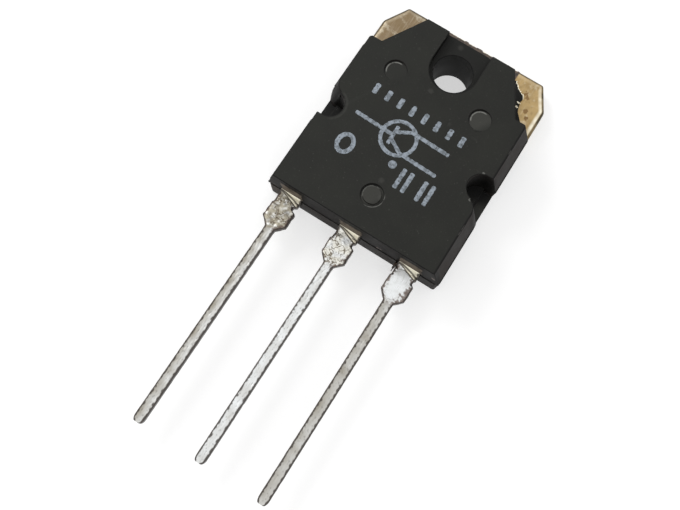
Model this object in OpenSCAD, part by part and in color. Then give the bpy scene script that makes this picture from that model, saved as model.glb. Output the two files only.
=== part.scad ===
// Power transistor in a moulded three-lead package with a screw hole.
// It lies on its back: z = 0 is the heat-sink face and the leads run toward -Y.
// The origin is on the axis of the screw hole, at the back. All sizes are in millimetres.

/* [Moulding] */
// Width over the parting line
body_w = 15.7; // [14.5:0.1:18]
// Thickness, back to front face
body_t = 4.6; // [4.2:0.1:6]
// Hole axis to the wall that the leads leave
body_below = 15.1; // [14.5:0.1:18]
// Hole axis to the top edge of the front face
face_above = 2.76; // [2.6:0.02:3.6]
// Hole axis to the shoulders of the front face
shoulder_below = 0.95; // [0.6:0.05:1.6]
// Hole axis to the slanted walls, at the front face
slant_dist = 4.89; // [4.4:0.01:5.4]
// Direction in which the slanted walls face, from +Y
slant_facing = 60; // [50:1:70]
// Chamfer between the shoulders and the long sides
corner_cut = 0.16; // [0.05:0.01:0.4]
// Draft of the long sides, front half
side_draft = 13.7; // [5:0.1:16]
// Draft of the long sides, back half
back_draft = 6; // [2:0.5:10]
// Draft of the top walls
top_draft = 5; // [2:0.5:10]
// Draft of the wall that the leads leave
lead_wall_draft = 0.5; // [0:0.1:5]
// Step by which the back half stands out at the parting line
parting_step = 0.05; // [0.02:0.01:0.1]
// Corner radius of the back half at the lead side
back_corner_r = 0.45; // [0.2:0.05:0.8]

/* [Screw hole] */
// Diameter of the screw hole
hole_d = 3.25; // [3:0.05:3.6]
// Width of the recess that runs from the hole to the top edge
slot_w = 4; // [3.9:0.05:4.6]
// Depth of the recess below the front face
slot_depth = 0.7; // [0.4:0.05:1.2]
// Plastic between the screw hole and the metal
sleeve_wall = 0.7; // [0.4:0.05:1]

/* [Side notches] */
// Radius of the rounded inner end
notch_r = 1.14; // [0.8:0.02:1.4]
// Distance between the two inner ends
notch_gap = 11.3; // [10.6:0.1:12]
// Hole axis to the left notch
left_notch_below = 7.68; // [6.5:0.05:8.5]
// Hole axis to the right notch
right_notch_below = 7.35; // [6.5:0.05:8.5]
// Plastic left between a notch and the metal
notch_skin = 0.2; // [0.1:0.05:0.5]
// Back face to the floor of a notch beside the metal
notch_foot = 0.95; // [0.6:0.05:1.5]
// Radius of the rounded corner of each notch's mouth
lip_r = 1.2; // [0.8:0.05:1.4]

/* [Ejector marks] */
// Diameter of each mark
mark_d = 1.85; // [1.4:0.05:2.4]
// Greatest depth of each mark
mark_depth = 0.14; // [0.05:0.01:0.3]
// Distance between the two upper marks
mark_spacing = 7.8; // [7:0.1:8.6]
// Hole axis to the two upper marks
upper_marks_below = 2.55; // [2:0.05:4]
// Hole axis to the lower mark
lower_mark_below = 12.3; // [11:0.1:13.5]
// Width of the groove of the lower mark
groove_w = 0.2; // [0.1:0.02:0.4]

/* [Resin flash] */
// Thickness of the ragged skin left on the metal
flash_t = 0.14; // [0.08:0.01:0.3]

/* [Header] */
// How far the sides of the metal tab lie inside the parting line
header_inset = 0.02; // [0:0.01:0.1]
// Thickness of the metal
header_t = 1.4; // [1:0.05:1.8]
// Hole axis to the top edge of the metal
header_above = 4.4; // [4:0.05:6]
// Hole axis to the step where the metal narrows inside the moulding
tab_below = 1.1; // [0.9:0.05:2]
// Hole axis to the lower end of the metal
header_below = 12.2; // [11.5:0.1:12.4]
// Plastic beside the metal inside the moulding
side_plastic = 1.15; // [0.9:0.05:2]
// Chamfer of the tab's corners, across
tab_cut = 1.24; // [0.8:0.02:2]
// Chamfer of the metal's lower corners
inner_cut = 0.8; // [0.3:0.1:1.5]

/* [Leads] */
// Distance between neighbouring leads
pitch = 5.45; // [5:0.01:5.6]
// Sideways offset of the lead frame in the mould
lead_shift = -0.2; // [-0.3:0.02:0.3]
// Thickness of each lead
lead_t = 0.6; // [0.4:0.05:0.8]
// Height of the leads' back above the back face
lead_z = 1.45; // [1.42:0.01:1.8]
// Width of the long, narrow part
lead_w = 0.87; // [0.7:0.01:1.2]
// Width of the root next to the moulding
root_w = 1.88; // [1.4:0.02:2.4]
// Width of the sheared dam-bar stubs
dam_w = 2.12; // [1.9:0.02:2.8]
// Moulding to the start of the dam-bar stubs
dam_start = 1.1; // [0.8:0.05:1.5]
// Length of the dam-bar stubs
dam_len = 1.35; // [0.8:0.05:1.8]
// Length over which the stubs taper to the narrow part
taper_len = 0.62; // [0.3:0.02:1]
// Moulding to the tips of the leads
lead_len = 20.5; // [10:0.1:22]
// Length of the rounding at each tip
tip_len = 0.5; // [0.2:0.05:0.8]
// Width of the flat at each tip
tip_w = 0.42; // [0.3:0.02:0.6]

/* [Inside] */
// Width of the bonding flags
flag_w = 3.2; // [2.4:0.1:3.6]
// Length of the bonding flags
flag_len = 1.5; // [1:0.1:1.8]
// Shift of the bonding flags toward the middle
flag_shift = 0.5; // [0:0.05:0.8]
// Plastic between the metal's lower end and the bonding flags
flag_gap = 0.5; // [0.3:0.05:0.6]
// Length over which the middle lead steps up from the metal
step_len = 0.9; // [0.6:0.05:1.1]
// Side of the square die
die_w = 5.2; // [3:0.1:6]
// Thickness of the die
die_t = 0.3; // [0.25:0.01:0.5]
// Hole axis to the middle of the die
die_below = 7.4; // [6.8:0.1:8]
// Thickness of the solder under the die
solder_t = 0.06; // [0.03:0.01:0.15]
// Width of the solder that shows around the die
solder_rim = 0.3; // [0.1:0.05:0.6]
// Diameter of the base wire
base_wire_d = 0.2; // [0.12:0.02:0.26]
// Diameter of the two emitter wires
emitter_wire_d = 0.3; // [0.2:0.02:0.36]
// Rise of the base wire over its chord
base_wire_rise = 0.9; // [0.6:0.05:1.2]
// Rise of the emitter wires over their chords
emitter_wire_rise = 1; // [0.6:0.05:1.2]

/* [Hidden] */
$fn = 96;
// Length that reaches past every side of the part
reach = body_w + body_below + lead_len;
// Length that a cut runs past a face
over = 1;
// Direction that the small corner chamfers face, from +Y toward each side
corner_facing = 45;
// Height of the parting line: level with the front of the leads
parting_z = lead_z + lead_t;
// Half width of the front face
face_half = body_w / 2 - (body_t - parting_z) * tan(side_draft);
// Width of the metal tab, and of the metal inside the moulding
header_w = body_w - 2 * header_inset;
inner_w = body_w - 2 * side_plastic;
// Middle of the notches, and where their deeper floors start beyond it
notch_x = notch_gap / 2 + notch_r;
foot_from = inner_w / 2 + notch_skin - notch_x;
// Length of a notch's mouth at the parting line, and halfway up the drafted wall
mouth_len = body_w / 2 - notch_x;
mouth_mid = (mouth_len + face_half - notch_x) / 2;
// Rounded corner of a mouth: its width, where it meets the notch, and its rise
lip_w = lip_r / cos(side_draft);
lip_from = (mouth_mid - lip_w) * notch_r / (notch_r + lip_r);
lip_rise = sqrt(pow(notch_r + lip_r, 2) - pow(mouth_mid - lip_w, 2));
// Middle positions of the leads
base_x = lead_shift - pitch;
emitter_x = lead_shift + pitch;
// The bonding flags, from their top edge down to where the leads' roots start
flag_top = header_below + flag_gap;
root_top = flag_top + flag_len;
// Top face of the die
die_z = header_t + solder_t;
die_top = die_z + die_t;
// Overlap that joins two shapes of one piece
join = 0.2;
// Ragged edge of the resin flash: [along the slanted wall, out from its foot]
flash_edge = [
  [-0.9, -0.3], [-0.76, 0.41], [-0.06, 0.52], [0.47, 0.85], [0.8, 1], [1.15, 0.7],
  [1.8, 0.52], [2.05, 0.5], [2.87, 0.68], [3.3, 0.55], [3.9, 0.2], [4, -0.3]
];

// Everything on the inner side of a drafted wall. The wall stands `dist` from the hole axis
// at height `at_z`, faces `facing` degrees from +Y toward +X, and leans out toward the back.
module inside_wall(dist, at_z, facing, draft) {
  foot = dist + (at_z + over) * tan(draft);
  brow = dist - (body_t + over - at_z) * tan(draft);
  rotate([90, 0, 90 - facing])
    translate([0, 0, -reach])
      linear_extrude(height = 2 * reach)
        polygon([[-reach, -over], [foot, -over], [brow, body_t + over], [-reach, body_t + over]]);
}

// What lies beyond both a slanted wall and its shoulder, whose outer end is chamfered.
module outside_corner(side) {
  corner_dist = (face_half - shoulder_below - corner_cut) * sin(corner_facing);
  difference() {
    translate([side > 0 ? 0 : -reach, -reach, -over / 2])
      cube([reach, 2 * reach, body_t + over]);
    inside_wall(slant_dist, body_t, side * slant_facing, top_draft);
    intersection() {
      inside_wall(-shoulder_below, body_t, 0, top_draft);
      inside_wall(corner_dist, body_t, side * corner_facing, side_draft);
    }
  }
}

module front_half() {
  difference() {
    intersection() {
      translate([-reach, -reach, parting_z])
        cube([2 * reach, 2 * reach, body_t - parting_z]);
      inside_wall(face_above, body_t, 0, top_draft);
      inside_wall(face_half, body_t, 90, side_draft);
      inside_wall(face_half, body_t, -90, side_draft);
      inside_wall(body_below, parting_z, 180, lead_wall_draft);
    }
    outside_corner(-1);
    outside_corner(1);
  }
}

// Plan of the back half: square at the top, rounded at the lead side.
module back_plan() {
  half = body_w / 2 + parting_step;
  low = -body_below - parting_step;
  translate([-half, low + back_corner_r])
    square([2 * half, body_below + header_above]);
  translate([-half + back_corner_r, low])
    square([2 * (half - back_corner_r), body_below]);
  for (side = [-1, 1])
    translate([side * (half - back_corner_r), low + back_corner_r])
      circle(r = back_corner_r);
}

module back_half() {
  half = body_w / 2 + parting_step;
  difference() {
    intersection() {
      linear_extrude(height = parting_z)
        back_plan();
      inside_wall(face_above, body_t, 0, top_draft);
      inside_wall(half, parting_z, 90, -back_draft);
      inside_wall(half, parting_z, -90, -back_draft);
    }
    outside_corner(-1);
    outside_corner(1);
  }
}

// Thin ragged skin of resin that bled onto the metal beside the right slanted wall.
module resin_flash() {
  foot = slant_dist + (body_t - header_t) * tan(top_draft);
  translate([0, 0, header_t])
    rotate([0, 0, 90 - slant_facing])
      linear_extrude(height = flash_t)
        polygon([for (p = flash_edge) [foot + p[1], -p[0]]]);
}

module screw_hole() {
  translate([0, 0, -over])
    cylinder(h = body_t + 2 * over, d = hole_d);
}

module slot() {
  translate([0, 0, body_t - slot_depth]) {
    cylinder(h = slot_depth + over, d = slot_w);
    translate([-slot_w / 2, 0, 0])
      cube([slot_w, reach, slot_depth + over]);
  }
}

// Room that a rounded corner, leaning with the drafted wall, leaves open in the mouth.
module mouth_corner(from, floor_z) {
  difference() {
    translate([from, -lip_rise, floor_z])
      cube([reach, lip_rise, body_t]);
    translate([mouth_len - lip_w, -lip_rise, parting_z])
      rotate([0, -side_draft, 0])
        cylinder(h = 4 * body_t, r = lip_r, center = true);
  }
}

// The right notch has its rounded corner toward the leads, the left one away from them.
module side_notch(side, below) {
  skin_z = header_t + notch_skin;
  translate([side * notch_x, -below, 0])
    rotate([0, 0, side > 0 ? 0 : 180]) {
      translate([0, 0, skin_z])
        cylinder(h = body_t, r = notch_r);
      translate([0, -notch_r, skin_z])
        cube([reach, 2 * notch_r, body_t]);
      translate([foot_from, -notch_r, notch_foot])
        cube([reach, 2 * notch_r, body_t]);
      mouth_corner(lip_from, skin_z);
      mouth_corner(foot_from, notch_foot);
    }
}

// Sunken disc that is deepest toward the upper left and fades out at the lower right.
module upper_mark(x) {
  translate([x, -upper_marks_below, body_t])
    rotate(a = atan(mark_depth / mark_d), v = [-1, -1, 0])
      translate([0, 0, -mark_depth / 2])
        cylinder(h = over, d = mark_d);
}

module lower_mark() {
  translate([0, -lower_mark_below, body_t - mark_depth])
    difference() {
      cylinder(h = over, d = mark_d);
      translate([0, 0, -over])
        cylinder(h = 3 * over, d = mark_d - 2 * groove_w);
    }
}

// One lead in the plane of the leads: root, dam-bar stubs, taper, shank and tip.
module lead(x) {
  dam_y = -body_below - dam_start;
  taper_y = dam_y - dam_len;
  shank_y = taper_y - taper_len;
  tip_y = -body_below - lead_len;
  translate([x, 0, lead_z])
    linear_extrude(height = lead_t) {
      translate([-root_w / 2, taper_y])
        square([root_w, -root_top - taper_y]);
      polygon([
        [-dam_w / 2, dam_y], [dam_w / 2, dam_y], [dam_w / 2, taper_y], [lead_w / 2, shank_y],
        [lead_w / 2, tip_y + tip_len], [lead_w / 2 - (lead_w - tip_w) / 5, tip_y + tip_len / 3],
        [tip_w / 2, tip_y], [-tip_w / 2, tip_y],
        [-lead_w / 2 + (lead_w - tip_w) / 5, tip_y + tip_len / 3], [-lead_w / 2, tip_y + tip_len],
        [-lead_w / 2, shank_y], [-dam_w / 2, taper_y]
      ]);
    }
}

// Flat flag inside the moulding that a bond wire lands on.
module flag(x) {
  translate([x - flag_w / 2, -root_top - join, lead_z])
    cube([flag_w, flag_len + join, lead_t]);
}

module header_plate() {
  half = header_w / 2;
  drop = tab_cut * tan(slant_facing);
  linear_extrude(height = header_t)
    difference() {
      polygon([
        [-half + tab_cut, header_above], [half - tab_cut, header_above],
        [half, header_above - drop], [half, -tab_below], [inner_w / 2, -tab_below],
        [inner_w / 2, -header_below + inner_cut], [inner_w / 2 - inner_cut, -header_below],
        [-inner_w / 2 + inner_cut, -header_below], [-inner_w / 2, -header_below + inner_cut],
        [-inner_w / 2, -tab_below], [-half, -tab_below], [-half, header_above - drop]
      ]);
      circle(d = hole_d + 2 * sleeve_wall);
    }
}

// The middle lead steps up from the front of the header to the plane of the leads.
module lead_step() {
  start = -header_below + join;
  foot = -root_top + step_len;
  low = header_t - lead_t;
  translate([lead_shift - root_w / 2, 0, 0])
    rotate([90, 0, 90])
      linear_extrude(height = root_w)
        polygon([
          [start, low], [start, header_t], [foot, header_t], [-root_top, parting_z],
          [-root_top - join, parting_z], [-root_top - join, lead_z], [-root_top, lead_z],
          [foot, low]
        ]);
}

module wire_arc(from, to, d, rise) {
  span = to - from;
  chord = norm(span);
  r = chord * chord / (8 * rise) + rise / 2;
  half = asin(chord / (2 * r)) + d / (2 * r) * 180 / PI;
  translate((from + to) / 2)
    rotate([0, -asin(span[2] / chord), atan2(span[1], span[0])])
      translate([0, 0, rise - r])
        rotate([90, half - 90, 0])
          rotate_extrude(angle = 2 * half)
            translate([r, 0])
              circle(d = d);
}

module base_arc() {
  wire_arc(
    [-die_w * 0.3, -die_below - die_w * 0.38, die_top],
    [base_x + flag_shift + flag_w / 4, -flag_top - flag_len / 2, parting_z],
    base_wire_d, base_wire_rise
  );
}

// `step` is 0 for the inner emitter wire and 1 for the outer one.
module emitter_arc(step) {
  gap = 3 * emitter_wire_d;
  wire_arc(
    [die_w * 0.12 + step * gap, -die_below - die_w * 0.3 + step * gap, die_top],
    [emitter_x - flag_shift - flag_w / 4 + step * gap, -flag_top - flag_len / 2, parting_z],
    emitter_wire_d, emitter_wire_rise
  );
}

module mold_body() {
  color("#2e2d2b")
    difference() {
      union() {
        front_half();
        back_half();
        resin_flash();
      }
      screw_hole();
      slot();
      side_notch(-1, left_notch_below);
      side_notch(1, right_notch_below);
      upper_mark(-mark_spacing / 2);
      upper_mark(mark_spacing / 2);
      lower_mark();
      collector_frame();
      base_lead();
      emitter_lead();
      die_solder();
      silicon_die();
      base_arc();
      emitter_arc(0);
      emitter_arc(1);
    }
}

module collector_frame() {
  color("#b98a55")
    union() {
      header_plate();
      lead_step();
      lead(lead_shift);
    }
}

module base_lead() {
  color("#c9cbcc")
    union() {
      lead(base_x);
      flag(base_x + flag_shift);
    }
}

module emitter_lead() {
  color("#c9cbcc")
    union() {
      lead(emitter_x);
      flag(emitter_x - flag_shift);
    }
}

module silicon_die() {
  color("#555a66")
    translate([-die_w / 2, -die_below - die_w / 2, die_z])
      cube([die_w, die_w, die_t]);
}

module die_solder() {
  side = die_w + 2 * solder_rim;
  color("#9a9ca0")
    translate([-side / 2, -die_below - side / 2, header_t])
      cube([side, side, solder_t]);
}

module base_wire() {
  color("#dfe2e6")
    difference() {
      base_arc();
      silicon_die();
      base_lead();
    }
}

module emitter_wire(step) {
  color("#dfe2e6")
    difference() {
      emitter_arc(step);
      silicon_die();
      emitter_lead();
    }
}

mold_body();
collector_frame();
base_lead();
emitter_lead();
silicon_die();
die_solder();
base_wire();
emitter_wire(0);  // emitter_wire_1
emitter_wire(1);  // emitter_wire_2
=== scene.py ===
"""Dresses a flat moulded power transistor: epoxy moulding, copper header, tinned leads.

All sizes in the classes are millimetres in the part's own frame: the origin is on the axis
of the screw hole at the back face, +Z leaves the front face and the leads run toward -Y.
They become metres only where a mesh or a node value is written.
"""

import logging
from dataclasses import dataclass, field
from enum import Enum
from typing import Callable, Sequence

import bmesh
import bpy
import numpy as np
from mathutils import Matrix, Vector


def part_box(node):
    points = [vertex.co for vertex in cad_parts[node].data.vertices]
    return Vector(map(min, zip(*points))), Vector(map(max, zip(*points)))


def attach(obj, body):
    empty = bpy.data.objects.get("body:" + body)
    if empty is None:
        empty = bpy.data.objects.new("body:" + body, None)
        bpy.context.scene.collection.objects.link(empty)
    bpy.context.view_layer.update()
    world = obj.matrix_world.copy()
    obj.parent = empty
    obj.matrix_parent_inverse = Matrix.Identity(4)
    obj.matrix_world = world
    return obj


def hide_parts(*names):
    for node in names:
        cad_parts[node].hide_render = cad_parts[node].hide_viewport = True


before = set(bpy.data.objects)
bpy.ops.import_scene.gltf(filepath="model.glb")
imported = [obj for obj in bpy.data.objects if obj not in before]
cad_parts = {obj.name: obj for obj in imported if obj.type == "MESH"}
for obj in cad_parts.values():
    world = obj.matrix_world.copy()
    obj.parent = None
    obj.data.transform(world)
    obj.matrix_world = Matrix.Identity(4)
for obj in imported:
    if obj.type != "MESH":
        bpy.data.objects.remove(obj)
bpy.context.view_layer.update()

MM = 0.001
ROOT = "root"
LOG = logging.getLogger("power_transistor")

RGB = tuple[float, float, float]
Point = tuple[float, float, float]
Socket = bpy.types.NodeSocket
Value = Socket | float
Paint = Socket | RGB


class Slot(Enum):
    """Material slots of the part's record."""

    EPOXY = "epoxy"
    COPPER = "copper"
    TIN = "tinned_copper"
    SILICON = "silicon"
    SOLDER = "solder"
    WIRE = "bond_wire"


# ---------------------------------------------------------------------------------------
# Smooth seeded patterns and mesh writing
# ---------------------------------------------------------------------------------------


def ripple(x: np.ndarray, y: np.ndarray, cell: float, seed: int, waves: int = 28) -> np.ndarray:
    """Smooth random relief: a sum of plane waves with random directions and phases.

    value = sqrt(2 / n) * sum of cos(k_i . p + phase_i), with |k_i| near 2 pi / cell.

    Args:
        x: First coordinate of each point.
        y: Second coordinate of each point.
        cell: Mean wavelength, in the unit of x and y.
        seed: Seed of the random directions and phases.
        waves: Number of waves n.

    Returns:
        Values of about unit variance, shaped as x.
    """
    rng = np.random.default_rng(seed)
    turn = rng.uniform(0, 2 * np.pi, waves)
    size = 2 * np.pi / (cell * rng.uniform(0.6, 1.7, waves))
    phase = rng.uniform(0, 2 * np.pi, waves)
    total = np.zeros(np.broadcast(x, y).shape)
    for k, a, p in zip(size, turn, phase):
        total = total + np.cos(k * np.cos(a) * x + k * np.sin(a) * y + p)
    return total * np.sqrt(2 / waves)


def smoothstep(low: float, high: float, value: np.ndarray) -> np.ndarray:
    """Cubic step 3 t^2 - 2 t^3 of t = (value - low) / (high - low), held to 0..1."""
    t = np.clip((value - low) / (high - low), 0, 1)
    return t * t * (3 - 2 * t)


def full_turn(count: int) -> np.ndarray:
    """Angles that divide a full turn into `count` equal steps, without its end."""
    return np.linspace(0, 2 * np.pi, count + 1)[:-1]


def run_along(path: np.ndarray) -> np.ndarray:
    """Length walked along a path at each of its points."""
    return np.concatenate([[0], np.cumsum(np.linalg.norm(np.diff(path, axis=0), axis=1))])


def sideways(ahead: np.ndarray) -> np.ndarray:
    """Unit vectors at a quarter turn to the left of the given directions."""
    unit = ahead / np.linalg.norm(ahead, axis=1)[:, None]
    return np.stack([-unit[:, 1], unit[:, 0]], 1)


def new_object(
    name: str, mesh: bpy.types.Mesh, material: bpy.types.Material
) -> bpy.types.Object:
    """Links a finished mesh as a piece of the part.

    Args:
        name: Piece name.
        mesh: Mesh whose place is already in its vertices.
        material: Material of the piece.

    Returns:
        The object, riding on the root body.
    """
    piece = bpy.data.objects.new(name, mesh)
    bpy.context.scene.collection.objects.link(piece)
    if not mesh.materials:
        mesh.materials.append(material)
    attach(piece, ROOT)
    return piece


def grid_mesh(
    name: str,
    points: np.ndarray,
    wrap_rows: bool = False,
    colours: dict[str, np.ndarray] | None = None,
) -> bpy.types.Mesh:
    """Writes a grid of points as one closed quad surface.

    Vertex (i, j) joins (i, j+1), (i+1, j+1) and (i+1, j), and the columns close on
    themselves. The rows either close too, or each end row is closed by a fan to its own
    middle point.

    Args:
        name: Mesh name.
        points: Array rows x columns x 3, in millimetres.
        wrap_rows: Joins the last row to the first.
        colours: Named values per grid point, kept as float attributes.

    Returns:
        The mesh, in metres, with outward normals.
    """
    rows, cols = points.shape[:2]
    i, j = np.meshgrid(np.arange(rows if wrap_rows else rows - 1), np.arange(cols), indexing="ij")
    i2, j2 = (i + 1) % rows, (j + 1) % cols
    quads = np.stack([i * cols + j, i * cols + j2, i2 * cols + j2, i2 * cols + j], -1)
    faces: list[list[int]] = quads.reshape(-1, 4).tolist()
    verts = points.reshape(-1, 3)
    capped: list[int] = [] if wrap_rows else [0, rows - 1]
    for end in capped:
        ring = end * cols + np.arange(cols)
        follower = np.roll(ring, -1)
        centre = np.full(cols, len(verts))
        verts = np.vstack([verts, points[end].mean(0)])
        fan = [follower, ring, centre] if end == 0 else [ring, follower, centre]
        faces += np.stack(fan, -1).tolist()
    mesh = bpy.data.meshes.new(name)
    mesh.from_pydata((verts * MM).tolist(), [], faces)
    for key, values in (colours or {}).items():
        middles = [float(values[end].mean()) for end in capped]
        layer = mesh.attributes.new(key, "FLOAT", "POINT")
        flat = np.concatenate([values.reshape(-1), middles])
        layer.data.foreach_set("value", flat.astype(np.float32))
    mesh.update()
    outward(mesh)
    return mesh


def outward(mesh: bpy.types.Mesh) -> None:
    """Turns the faces of a closed mesh outwards and smooths them.

    Args:
        mesh: Mesh to change.
    """
    work = bmesh.new()
    work.from_mesh(mesh)
    bmesh.ops.recalc_face_normals(work, faces=work.faces)
    work.to_mesh(mesh)
    work.free()
    mesh.shade_smooth()


# ---------------------------------------------------------------------------------------
# Shader building
# ---------------------------------------------------------------------------------------


@dataclass
class Graph:
    """Short calls for one node tree, in a material or in a group."""

    tree: bpy.types.NodeTree

    def add(self, kind: str, **settings: object) -> bpy.types.Node:
        """Adds a node.

        Args:
            kind: Blender's node type name.
            settings: Attributes of the node, or values of its inputs when the name starts
                with in_.

        Returns:
            The node.
        """
        node = self.tree.nodes.new(kind)
        for key, value in settings.items():
            if key.startswith("in_"):
                node.inputs[key[3:].replace("_", " ")].default_value = value
            else:
                setattr(node, key, value)
        return node

    def link(self, start: Socket, end: Socket) -> None:
        """Joins two sockets."""
        self.tree.links.new(start, end)

    def feed(self, value: Value | RGB, end: Socket) -> None:
        """Links a socket to an input, or writes a number or a colour into it.

        Args:
            value: Socket, number or colour.
            end: The input.
        """
        if isinstance(value, Socket):
            self.link(value, end)
        else:
            end.default_value = (*value, 1.0) if isinstance(value, tuple) else value

    def maths(self, operation: str, first: Value, second: Value = 0.0, clamp: bool = False) -> Socket:
        """Adds a Math node.

        Args:
            operation: Blender's operation name.
            first: Socket or number.
            second: Socket or number.
            clamp: Holds the result to 0..1.

        Returns:
            The result socket.
        """
        node = self.add("ShaderNodeMath", operation=operation, use_clamp=clamp)
        self.feed(first, node.inputs[0])
        self.feed(second, node.inputs[1])
        return node.outputs[0]

    def plus(self, first: Value, second: Value) -> Socket:
        """Sum of two values."""
        return self.maths("ADD", first, second)

    def minus(self, first: Value, second: Value) -> Socket:
        """Difference of two values."""
        return self.maths("SUBTRACT", first, second)

    def times(self, first: Value, *others: Value) -> Socket:
        """Multiplies two or more values.

        Args:
            first: Socket or number.
            others: Sockets or numbers.

        Returns:
            The product.
        """
        for other in others:
            first = self.maths("MULTIPLY", first, other)
        return first

    def over(self, first: Value, second: Value) -> Socket:
        """Quotient of two values."""
        return self.maths("DIVIDE", first, second)

    def larger(self, first: Value, *others: Value) -> Socket:
        """Picks the largest of two or more values.

        Args:
            first: Socket or number.
            others: Sockets or numbers.

        Returns:
            The largest.
        """
        for other in others:
            first = self.maths("MAXIMUM", first, other)
        return first

    def length(self, *parts: Socket) -> Socket:
        """Root of the sum of the squares of the parts.

        Args:
            parts: Sides of a vector.

        Returns:
            Its length.
        """
        squares = [self.times(part, part) for part in parts]
        total = squares[0]
        for square in squares[1:]:
            total = self.plus(total, square)
        return self.maths("SQRT", total)

    def mix(self, factor: Value, first: Paint, second: Paint) -> Socket:
        """Mixes two colours.

        Args:
            factor: Socket or number, 0 for the first colour.
            first: Socket or colour.
            second: Socket or colour.

        Returns:
            The colour socket.
        """
        node = self.add("ShaderNodeMix", data_type="RGBA", clamp_factor=True)
        for index, value in ((0, factor), (6, first), (7, second)):
            self.feed(value, node.inputs[index])
        return node.outputs[2]

    def ramp(self, value: Socket, low: float, high: float, to: tuple[float, float] = (0.0, 1.0)) -> Socket:
        """Maps a value smoothly from one range onto another, held at both ends.

        Args:
            value: Socket to map.
            low: Value that gives to[0].
            high: Value that gives to[1].
            to: Range of the result.

        Returns:
            The result socket.
        """
        node = self.add("ShaderNodeMapRange", interpolation_type="SMOOTHSTEP")
        self.link(value, node.inputs["Value"])
        for key, number in (("From Min", low), ("From Max", high), ("To Min", to[0]), ("To Max", to[1])):
            node.inputs[key].default_value = number
        return node.outputs["Result"]

    def noise(self, place: Socket, cell: float, detail: float = 3.0, rough: float = 0.55) -> Socket:
        """Adds noise.

        Args:
            place: Coordinates.
            cell: Width of a cell, in millimetres.
            detail: Octaves of finer noise.
            rough: Strength of the finer octaves.

        Returns:
            The noise value.
        """
        node = self.add("ShaderNodeTexNoise", in_Scale=1 / (cell * MM), in_Detail=detail, in_Roughness=rough)
        self.link(place, node.inputs["Vector"])
        return node.outputs["Fac"]

    def stretched(self, place: Socket, scale: Point, turn: float = 0.0) -> Socket:
        """Coordinates that are scaled, and turned about Z, so that a pattern is drawn out.

        Args:
            place: Coordinates.
            scale: Scale along X, Y and Z: less than 1 draws the pattern out.
            turn: Turn about Z, in radians.

        Returns:
            The new coordinates.
        """
        node = self.add("ShaderNodeMapping", in_Rotation=(0.0, 0.0, turn), in_Scale=scale)
        self.link(place, node.inputs["Vector"])
        return node.outputs["Vector"]

    def axes(self, place: Socket) -> tuple[Socket, Socket, Socket]:
        """Splits coordinates into their sides.

        Args:
            place: Coordinates.

        Returns:
            X, Y and Z, in metres.
        """
        node = self.add("ShaderNodeSeparateXYZ")
        self.link(place, node.inputs["Vector"])
        return node.outputs["X"], node.outputs["Y"], node.outputs["Z"]

    def attribute(self, name: str) -> Socket:
        """A float attribute of the piece."""
        return self.add("ShaderNodeAttribute", attribute_name=name).outputs["Fac"]

    def mirror_rays(self) -> Socket:
        """Tells the rays that look at a surface from the rays that light the part.

        Returns:
            1 for a camera, glossy or transmission ray, else 0.
        """
        rays = self.add("ShaderNodeLightPath")
        names = ("Is Camera Ray", "Is Glossy Ray", "Is Transmission Ray")
        return self.larger(*(rays.outputs[name] for name in names))


def node_group(
    name: str,
    inputs: dict[str, float],
    outputs: Sequence[str],
    fill: Callable[[Graph, bpy.types.Node, bpy.types.Node], None],
) -> bpy.types.NodeTree:
    """Builds a shader node group with a Vector input and named float inputs and outputs.

    Args:
        name: Group name.
        inputs: Float inputs and their starting values.
        outputs: Names of the float outputs.
        fill: Called with the graph, the group input node and the group output node.

    Returns:
        The group.
    """
    tree = bpy.data.node_groups.new(name, "ShaderNodeTree")
    tree.interface.new_socket("Vector", in_out="INPUT", socket_type="NodeSocketVector")
    for key, value in inputs.items():
        socket = tree.interface.new_socket(key, in_out="INPUT", socket_type="NodeSocketFloat")
        socket.default_value = value
    for key in outputs:
        tree.interface.new_socket(key, in_out="OUTPUT", socket_type="NodeSocketFloat")
    graph = Graph(tree)
    fill(graph, graph.add("NodeGroupInput"), graph.add("NodeGroupOutput"))
    return tree


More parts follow.
